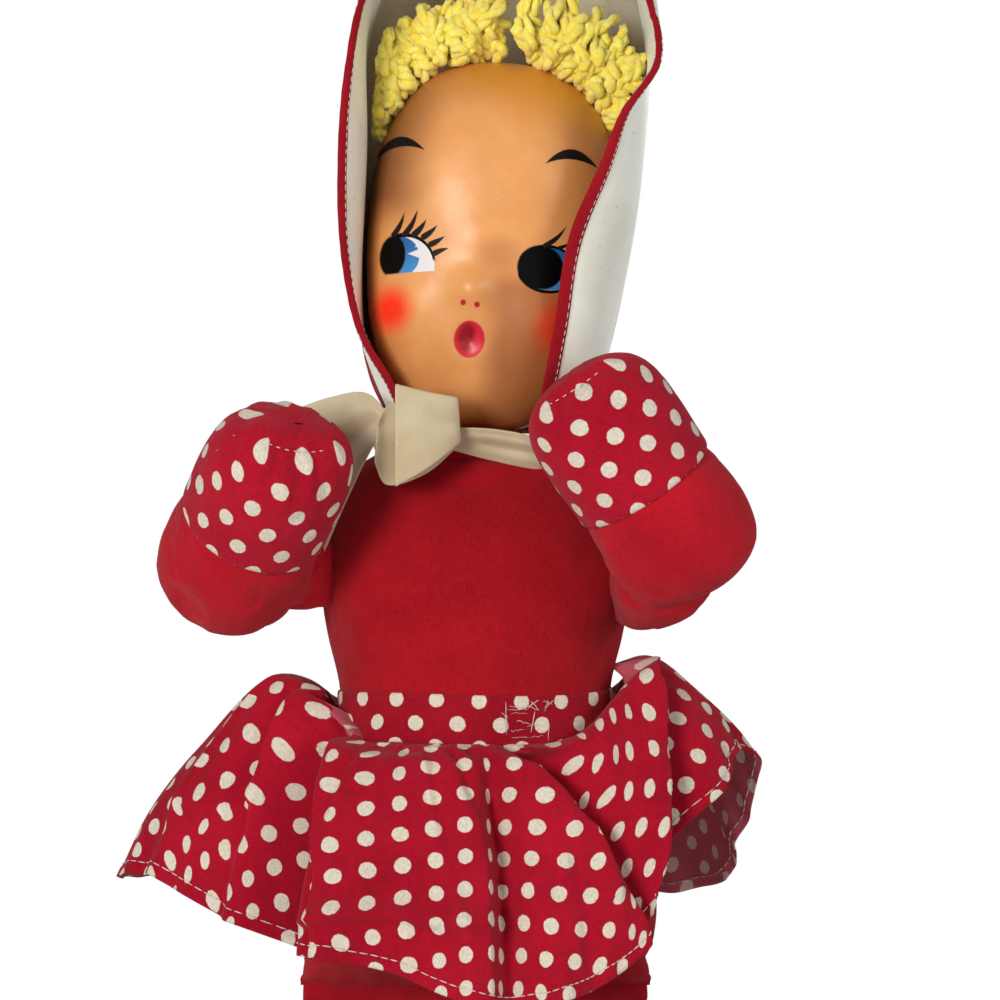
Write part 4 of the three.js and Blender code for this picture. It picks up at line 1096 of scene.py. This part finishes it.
def painted_face():
    """Sprayed and printed plastic, with painted shade and painted light over it. Its places are in
    millimetres from the face's middle.
    """
    material, flat, _, feed = fresh_material("moulded_face", 0.42, Coat_Roughness=0.3)
    where = scaled(flat, 1000, 1000, 0)
    blur = noise_of(where, 0.9)

    def boxed(x, z, turn, wide, tall):
        place = {0: where, 1: (x, z, 0), 2: (0, 0, math.radians(turn)), 3: (wide, tall, 1)}
        return node("ShaderNodeMapping", place, vector_type="TEXTURE")

    def oval(x, z, wide, tall, turn=0.0):
        """How far out of an oval a point is: 1 on its edge."""
        return vectors("LENGTH", boxed(x, z, turn, wide, tall))

    def stroke(x, z, turn, length, bend):
        """How far off a bowed stroke a point is, and how far along it. It starts at a foot."""
        along, aside = xy(boxed(x, z, turn, length, 1))
        run = maths("MINIMUM", maths("MAXIMUM", along, 0.0), 1.0)
        off = aside - run * (1.0 - run) * (4 * bend)
        past = (along - run) * length
        return maths("SQRT", off * off + past * past), run

    def inked(distance, limit, soft=0.16):
        """1 up to a limit, with a rough and soft edge."""
        rough = maths("MULTIPLY_ADD", blur, 0.25, distance)
        return ramp(rough - limit, -soft + 0.12, soft + 0.12, 1, 0)

    def lens(x, z, turn, length, bend, thick):
        """A stroke that is pointed at both ends."""
        away, run = stroke(x, z, turn, length, bend)
        return inked(away, run * (1.0 - run) * (4 * thick))

    def drop(x, z, turn, length, bend, thick):
        """A stroke that is round at its foot and pointed at its tip."""
        away, run = stroke(x, z, turn, length, bend)
        return inked(away, maths("MULTIPLY_ADD", maths("POWER", run, 1.8), -thick, thick))

    across, up = xy(where)
    skin = tint(ramp(noise_of(where, 0.05, 2), 0.35, 0.7), srgb(222, 150, 84), srgb(232, 160, 92))

    def cover(amount, colour):
        nonlocal skin
        skin = tint(amount, skin, colour)

    # The skin is browner towards the rim
    cover(ramp(oval(-1, -12, 46, 70), 0.72, 1.02, 0, 0.62), srgb(168, 92, 42))
    # Painted shade: darker over the doll's right brow beside the brim, on its left temple and cheek, and
    # beside its nose and mouth on its left
    cover(ramp(across, -42, -17, 1.0, 0) * ramp(up, -10, 8), srgb(132, 76, 36))
    cover(ramp(across, 12, 34, 0, 0.35) * ramp(up, -30, 0), srgb(176, 108, 58))
    cover(ramp(across, -5, 8, 0, 0.85) * ramp(up, -16, -26), srgb(166, 94, 48))
    cover(ramp(oval(3, -14, 10, 9), 0.2, 1.1, 0.45, 0), srgb(160, 92, 48))
    # Orange-yellow high on the forehead, towards the doll's left clump of hair
    cover(ramp(oval(16, 53, 46, 24, -10), 0.3, 1.1, 0.8, 0), srgb(214, 138, 34))
    # Painted light: lighter at the bottom of the chin
    cover(ramp(oval(-4, -80, 30, 24), 0.3, 1.2, 0.5, 0), srgb(244, 164, 96))
    for x, z, size, strength in ((-34.4, -35.4, 10.5, 1), (27.5, -38, 12.5, 0.75)):
        cover(ramp(oval(x, z, size, size * 1.05), 0.2, 1.1, strength, 0), srgb(252, 46, 8))
    # Mouth: crimson, with painted shade darker in its hollow and a painted highlight pinker on its right
    mouth_hollow_shade = ramp(oval(-6.2, -44, 3.1, 6.0), 0.6, 1.2, 1, 0)
    lips = tint(mouth_hollow_shade, srgb(204, 10, 40), srgb(150, 0, 18))
    lips = tint(ramp(oval(-2.4, -45.4, 2.2, 5), 0.4, 1.1, 0.4, 0), lips, srgb(226, 60, 84))
    cover(ramp(oval(-5.2, -44.5, 5.6, 6.6), 0.93, 1.05, 1, 0), lips)
    for x, z in ((-8.3, -31.8), (-3.3, -32.2)):
        cover(inked(oval(x, z, 1, 1), 1.0, 0.2), srgb(178, 12, 22))
    # Eyes: each looks to the doll's right, domed above and nearly straight below. The left one
    # is half behind the brim, with no white and no outer end of the lid
    black = (0.0012, 0.001, 0.001, 1)
    blue = tint(ramp(up, -23, -10), srgb(58, 136, 190), srgb(14, 88, 152))
    for dome_at, tilt, (floor_x, floor_z), white_start, iris_at, pupil_at, wedges_at in EYES:
        hidden = dome_at[0] > 0
        below = (across - floor_x) * tilt + floor_z - up
        dome = (oval(*dome_at) - 1.0) * 10
        start = white_start - across
        iris = (oval(*iris_at) - 1.0) * iris_at[2]
        spike, spike_run = stroke(wedges_at[0], -15.3, 3, 5.2, 0.0)
        small, small_run = stroke(wedges_at[1], -12.9, 30, 2.4, 0.0)
        wedges = maths("MAXIMUM", inked(spike, spike_run * 1.9), inked(small, small_run))
        eye = tint(inked(iris, 0.0) * (1.0 - wedges), blue if hidden else srgb(226, 222, 220), blue)
        cover(inked(maths("MAXIMUM", maths("MAXIMUM", dome, below), start), 0.0), eye)
        pupil_x, pupil_wide, pupil_tall = pupil_at
        pupil = (oval(pupil_x, iris_at[1] + 0.4, pupil_wide, pupil_tall) - 1.0) * pupil_wide
        cover(inked(maths("MAXIMUM", pupil, below), 0.0, 0.4), black)
        lid = maths("ABSOLUTE", dome) * ramp(across, dome_at[0] - 4, dome_at[0] + 12, 0.8, 1.5)
        line = inked(lid, 0.62) * inked(start, 0.0)
        cover(line if hidden else line * ramp(below, -4.6, -3.0, 1, 0), black)
    for lash in LASHES:
        cover(drop(*lash), srgb(30, 20, 17))
    for brow in ((-46.0, 19.4, 8, 19.8, 4.8, 2.0), (17.0, 20.2, 3, 19.5, 4.2, 1.9)):
        cover(lens(*brow), srgb(22, 15, 14))
    # Scratches and specks
    scratch = ramp(noise_of(scaled(where, 0.16, 2.6), 1, 2), 0.66, 0.72, 0, 0.5)
    cover(scratch * ramp(oval(3, 10, 9, 26), 0.3, 1.1, 1, 0), srgb(150, 84, 44))
    cover(ramp(noise_of(where, 1.4, 1), 0.78, 0.82, 0, 0.5), srgb(120, 60, 34))
    # The printed ink is matt beside the plastic
    lightness = node("ShaderNodeRGBToBW", {0: skin})
    feed("Specular IOR Level", ramp(lightness, 0.0, 0.04, 0.06, 0.42))
    feed("Coat Weight", ramp(lightness, 0.0, 0.04, 0.0, 0.12))
    feed("Base Color", skin)
    feed("Normal", bump(noise_of(where, 0.14, 2), 0.25, 0.0012))
    return material


face_shape = cloth_grid(200, 84, face_point, face_lay, outward=True)
face = as_piece(face_shape, "painted_face", painted_face())
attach(face, "head")
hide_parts("face_mask")

# Hood crown
# The back of the hood, of the plain red cotton lined with the brim's coated cloth and gathered
# at the neck. It comes forward to a seam over the ears, where the brim is sewn on.

def oilcloth(name, colour, shade, gloss=0.36):
    """Cloth with a smooth off-white coating, finely crazed, with dark specks and stains."""
    material, _, place, feed = fresh_material(name, gloss, Specular_IOR_Level=0.45, Sheen_Weight=0.05)
    base = tint(ramp(noise_of(place, 26, 4), 0.35, 0.7), colour, shade)
    base = tint(ramp(noise_of(place, 620, 2, 0.5), 0.70, 0.76, 0, 0.55), base, srgb(120, 104, 84))
    base = tint(ramp(noise_of(place, 120, 2, 0.5), 0.72, 0.80, 0, 0.35), base, srgb(168, 136, 92))
    feed("Base Color", base)
    crazed = bump(noise_of(place, 1500, 3), 0.3, 0.0001)
    feed("Normal", bump(noise_of(place, 70, 3, 0.5), 0.4, 0.0012, crazed))
    return material


HOOD_ARCH = smooth_line([
    (31, 12), (42.4, 30.3), (48.8, 58.7), (53, 109.4), (51.4, 160.2), (35, 198.8), (1.5, 215),
])
BRIM_SEAM = 1


def crown_point(u, v):
    """u runs from ear to ear round the back. v runs up from the neck to the peak."""
    half, height = HOOD_ARCH(v)
    turn = math.pi * u
    gathers = 0.7 * math.sin(24 * turn + 1) * math.exp(-v * 9)
    waves = 0.5 * math.sin(9 * turn + 6 * v) + 0.6 * math.sin(5 * turn + 11 * v)
    reach = half + gathers + waves * math.sin(turn)
    return head(-reach * math.cos(turn), BRIM_SEAM + reach * math.sin(turn) + 0.3, height)


crown_cotton = cotton("crown_cotton", srgb(170, 8, 30))
crown_shape = cloth_grid(88, 72, crown_point, lambda u, v, side: ((u - 0.5) * 0.16, v * 0.21))
bmesh.ops.reverse_faces(crown_shape, faces=crown_shape.faces)
crown_lining = oilcloth("lining_oilcloth", srgb(206, 196, 170), srgb(180, 166, 136))
crown = as_piece(crown_shape, "hood_crown_cloth", crown_cotton, crown_lining)
crown_wall = walled(crown, 0.0009)
crown_wall.material_offset = 1
finer(crown, 1)
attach(crown, "head")
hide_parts("hood_crown")

# Brim and binding
# The brim is of stiff coated cloth, off-white on both faces and specked with age. Its long edge
# is bound with red bias tape, folded over it and sewn through with one line of white thread.

BRIM_EDGE = smooth_line([
    (-23, -31, 8), (-31, -33, 24), (-45, -36, 44), (-53, -42, 72), (-56, -48, 103), (-56, -50, 131),
    (-52, -48, 162), (-36, -42, 198), (2, -38, 218), (36, -36, 198), (51, -38, 166), (54, -42, 146),
    (43, -49, 127), (37, -51, 108), (28, -50, 82), (25, -46, 49), (22, -36, 23), (20, -30, 8),
])


@functools.cache
def brim_lines(u):
    """The brim's seam, the point that its curve leans to, and its edge, for one cut through it."""
    side = -1 if u < 0.5 else 1
    half, height = HOOD_ARCH(1 - abs(2 * u - 1))
    seam = np.array((side * (half - 0.6), BRIM_SEAM + 1.5, height))
    edge = BRIM_EDGE(u)
    top = 0.4 < u < 0.6
    over = (seam[0] + edge[0]) / 2 if top else side * (max(abs(seam[0]), abs(edge[0])) + 2)
    # Beside the doll's right cheek the brim leans in against the face
    beside = math.exp(-(((u - 0.2) / 0.13) ** 4))
    over += beside * (-43 - over)
    lean = np.array((over, edge[1] * 0.72, (seam[2] + edge[2]) / 2 + (3 if top else 0)))
    return seam, lean, edge


def brim_at(u, v):
    seam, lean, edge = brim_lines(u)
    return seam * (1 - v) ** 2 + lean * (2 * v * (1 - v)) + edge * v * v


@functools.cache
def brim_depth(u):
    """The length of the cut from the seam to the edge, in millimetres."""
    cuts = [brim_at(u, k / 16) for k in range(17)]
    return sum(np.linalg.norm(b - a) for a, b in zip(cuts, cuts[1:]))


def brim_point(u, v):
    reach = 1 - 2.6 / brim_depth(u)
    spot = brim_at(u, v * reach)
    side = -1 if u < 0.5 else 1
    wave = 0.45 * math.sin(21 * u * 2 + 3 * v) * math.sin(math.pi * v)
    return head(spot[0] + side * wave, spot[1], spot[2])


brim_cloth = oilcloth("brim_oilcloth", srgb(246, 246, 232), srgb(232, 230, 212))
brim_shape = cloth_grid(240, 18, brim_point, lambda u, v, side: (u * 0.5, v * 0.045))
# Low on the doll's right the red cotton comes round the ear, up to a strip of the brim
for face in brim_shape.faces:
    uv = face.loops[0][brim_shape.loops.layers.uv.active].uv
    face.material_index = 1 if uv.x < 0.05 and uv.y < 0.0255 else 0
brim = as_piece(brim_shape, "hood_brim_cloth", brim_cloth, crown_cotton)
walled(brim, 0.0009, offset=0)
finer(brim, 1)
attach(brim, "head")
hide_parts("hood_brim")


def brim_frame(u, v):
    """A place on the brim with the way along it, the way out to its edge, and its face."""
    spot = brim_at(u, v)
    step = 0.002
    along = Vector(brim_at(min(1, u + step), v) - brim_at(max(0, u - step), v)).normalized()
    outward = Vector(spot - brim_at(u, v - 0.02)).normalized()
    face_way = along.cross(outward).normalized()
    return Vector(spot), along, outward, face_way


def binding_half(u):
    """Half of the tape's width: it is wider down the doll's left side."""
    return 1.95 + 0.85 * min(1, max(0, u - 0.62) / 0.2)


@functools.cache
def binding_frame(u):
    return brim_frame(u, 1 - (binding_half(u) - 0.25) / brim_depth(u))


def binding_point(u, v):
    """u runs round the folded tape from one free edge to the other. v runs along the brim."""
    middle, along, outward, face_way = binding_frame(round(v, 6))
    turn = 2 * math.pi * (0.54 + 0.92 * u)
    wide = binding_half(v) * math.copysign(abs(math.cos(turn)) ** 0.8, math.cos(turn))
    thick = 1.2 * math.copysign(abs(math.sin(turn)) ** 0.75, math.sin(turn))
    ruck = 1 + 0.06 * math.sin(190 * v * 2) + 0.05 * math.sin(77 * v * 2 + 1)
    end = min(1, v / 0.004, (1 - v) / 0.004)
    spot = middle + outward * wide * end + face_way * thick * ruck * end
    return head(*spot)


tape_cotton = cotton("tape_cotton", srgb(160, 8, 26), worn=0.6)
tape_shape = cloth_grid(22, 420, binding_point, lambda u, v, side: (u * 0.01, v * 0.5))
tape = as_piece(tape_shape, "hood_binding_tape", tape_cotton)
walled(tape, 0.0004)
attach(tape, "head")
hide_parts("hood_binding")

BINDING_STITCHES = 168
binding_seam = bmesh.new()
for stitch in range(BINDING_STITCHES):
    for side in (1, -1):
        path = []
        for part in (0.1, 0.45, 0.8):
            place = round((stitch + part) / BINDING_STITCHES, 6)
            middle, along, outward, face_way = binding_frame(place)
            path.append(head(*(middle - outward * (binding_half(place) - 1.45) + face_way * side * 1.32)))
        strand(binding_seam, path, 0.19 * MM, 5)
binding_stitches = as_piece(binding_seam, "hood_binding_stitches", white_thread)
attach(binding_stitches, "head")

# Hair
# Short lengths of thick soft yarn, sewn in two clumps along the top of the face and brushed
# out, so that each is a curl of loosely spun fibres.

YARN_THICK = 2.35


def yarn_material():
    material, _, place, feed = fresh_material(
        "yellow_yarn", 0.9, Sheen_Weight=0.35, Sheen_Roughness=0.6, Specular_IOR_Level=0.1
    )
    ply = ramp(noise_of(place, 420, 3, 0.7), 0.35, 0.65)
    tone = tint(ply, srgb(255, 226, 52), srgb(255, 246, 128))
    tone = tint(ramp(noise_of(place, 60, 2), 0.45, 0.7, 0, 0.4), tone, srgb(250, 212, 46))
    feed("Base Color", tone)
    feed("Normal", bump(noise_of(place, 2600, 3, 0.7), 0.7, 0.0005))
    return material


def rim_place(turn, out):
    """A place beside the top of the face's rim, some millimetres out from it."""
    x, z = face_rim(turn)
    away = Vector((x, 0, z)).normalized()
    return Vector((x, -FACE_BACK, FACE_MIDDLE + z)) + away * out, away


def yarn(shape, path, thick, turn):
    """Two plies twisted round each other along a path."""
    last = len(path) - 1
    for spot in path:
        spot.x = min(max(spot.x, -45), 51)
    for ply in (0, math.pi):
        line = []
        for k, spot in enumerate(path):
            ahead = (path[min(k + 1, last)] - path[max(k - 1, 0)]).normalized()
            side = ahead.cross(Vector((0.3, 1, 0.2))).normalized()
            angle = turn * k + ply
            thin = 0.5 if k in (0, last) else 1
            off = side * math.cos(angle) + ahead.cross(side) * math.sin(angle)
            line.append(head(*(spot + off * thick * 0.55 * thin)))
        strand(shape, line, thick * 0.72 * MM, 6)


def hair_clump(name, from_turn, to_turn, fullness, count, seed):
    dice = random.Random(seed)
    shape = bmesh.new()
    for k in range(count):
        share = (k + dice.random()) / count
        layer = dice.random()
        turn = math.radians(from_turn + (to_turn - from_turn) * share)
        from_end = share if name == "right" else 1 - share
        swell = math.sqrt(math.sin(math.pi / 2 * min(1, 0.14 + 1.5 * from_end))) * fullness
        root, away = rim_place(turn, -1.5 + 11 * layer * swell)
        root.y += dice.uniform(-2, 0) - 3 * layer
        aside = Vector((away.z, 0, -away.x)) * dice.uniform(-0.8, 0.8)
        way = (away + aside + Vector((0, dice.uniform(-0.7, 0.1), 0))).normalized()
        curl = way.cross(Vector([dice.uniform(-1, 1) for _ in range(3)])).normalized()
        reach = swell * dice.uniform(10, 17) * (0.75 + 0.45 * layer)
        bow = dice.uniform(0.12, 0.35) * reach
        forward = dice.uniform(5, 15) * swell * (1.1 - 0.5 * layer)
        wriggle = dice.uniform(0, 6)
        path = []
        for step in range(9):
            t = step / 8
            spot = root + way * (reach * t) + curl * (bow * math.sin(math.pi * t * 1.1))
            spot += curl.cross(way) * (0.1 * reach * math.sin(wriggle + 6 * t))
            spot.y -= forward * math.sin(math.pi * min(1, t * 0.85 + 0.1))
            path.append(spot)
        yarn(shape, path, YARN_THICK * dice.uniform(0.8, 1.15), dice.choice((-1.2, 1.2)))
    bmesh.ops.recalc_face_normals(shape, faces=shape.faces)
    piece = as_piece(shape, f"hair_{name}_yarn", yellow_yarn)
    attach(piece, "head")
    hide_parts(f"hair_{name}")


yellow_yarn = yarn_material()
hair_clump("right", 157, 91, 1.0, 135, 5)
hair_clump("left", 83, 34, 1.1, 120, 9)

# Ties
# One tie of the brim's coated cloth comes from each front corner of the hood. They are knotted
# beside the chin, with one folded loop that stands up and a tail over the right shoulder.


def tie(name, stations, along=(), ripple=0.35):
    """stations are pairs of places of the tie's two edges along it, from the neck's middle.
    along lists its folds: the share of the length, how far each stands out, and its spread."""
    high = smooth_line([s[0] for s in stations])
    low = smooth_line([s[1] for s in stations])

    def place(u, v):
        top, bottom = high(u), low(u)
        spot = top + (bottom - top) * v
        spot[1] += ripple * math.sin(9 * v + 5 * u) * math.sin(math.pi * v)
        for where, rise, spread in along:
            spot[1] -= rise * math.exp(-(((v - where) / spread) ** 2)) * min(1, 4 * u + 0.2)
        return PIVOT + Vector(spot) * MM

    steps = 14 * (len(stations) - 1)
    shape = cloth_grid(steps, 16, place, lambda u, v, side: (u * 0.05, v * 0.03))
    piece = as_piece(shape, name, tie_cloth)
    walled(piece, 0.0009, offset=0)
    finer(piece, 1)
    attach(piece, "torso")
    return piece


def on_chest(x, z):
    """A place just in front of the torso, from the neck's middle."""
    wide, deep = torso_size(360 + z)
    return (x, -deep * math.sqrt(1 - min(1, abs(x) / wide) ** 2) - 0.8, z)


tie_cloth = oilcloth("tie_oilcloth", srgb(206, 190, 156), srgb(186, 166, 128), 0.42)
loop = tie("bow_loop_cloth", [
    ((-34.5, -48, 14), (-35.5, -47, -1)), ((-30, -45.5, 20), (-31.5, -44.5, -9)),
    ((-16, -44, 20), (-17, -43, -5)), ((-6, -46, 22), (-5, -44, 6)),
    ((-16, -51, 24), (-16, -50, -3)), ((-28, -53, 27), (-28, -52, -10)),
], ripple=0.6)
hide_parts("bow_loop")
tail = tie("tie_tail_cloth", [
    ((-31, -43, 17), (-32, -43, 9)), ((-38.5, -38, 24), (-35.5, -38, 6)),
    ((-53, -24, 23), (-46, -27, -14)), ((-63, -18, 20), (-55, -22, -34)),
], [(0.3, 1.2, 0.1), (0.62, -1.2, 0.12)])
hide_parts("tie_tail")
left_tie = tie("tie_left_cloth", [
    ((-12, -40.4, 11.6), (-12, -39.4, 4.5)), ((6, -38, 11.2), on_chest(6, 0)),
    ((19, -37, 9), on_chest(20.5, -3)), ((31, -31.5, 5), on_chest(33, -4)),
], [(0.28, 0.9, 0.08), (0.5, -0.9, 0.1), (0.75, 0.6, 0.1)])
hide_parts("tie_left")

knot_shape = bmesh.new()
bmesh.ops.create_uvsphere(knot_shape, u_segments=32, v_segments=20, radius=1)
for vert in knot_shape.verts:
    turn = math.atan2(vert.co.y, vert.co.x)
    pinch = 1 + 0.14 * math.sin(3 * turn + 4 * vert.co.z) + 0.08 * math.sin(9 * vert.co.z + turn)
    vert.co = PIVOT + Vector((
        -30 + 5.4 * vert.co.x * pinch, -40.5 + 3.6 * vert.co.y * pinch, 6 + 7 * vert.co.z,
    )) * MM
knot = as_piece(knot_shape, "bow_knot_cloth", tie_cloth)
finer(knot, 1)
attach(knot, "torso")
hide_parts("bow_knot")

bpy.context.view_layer.update()
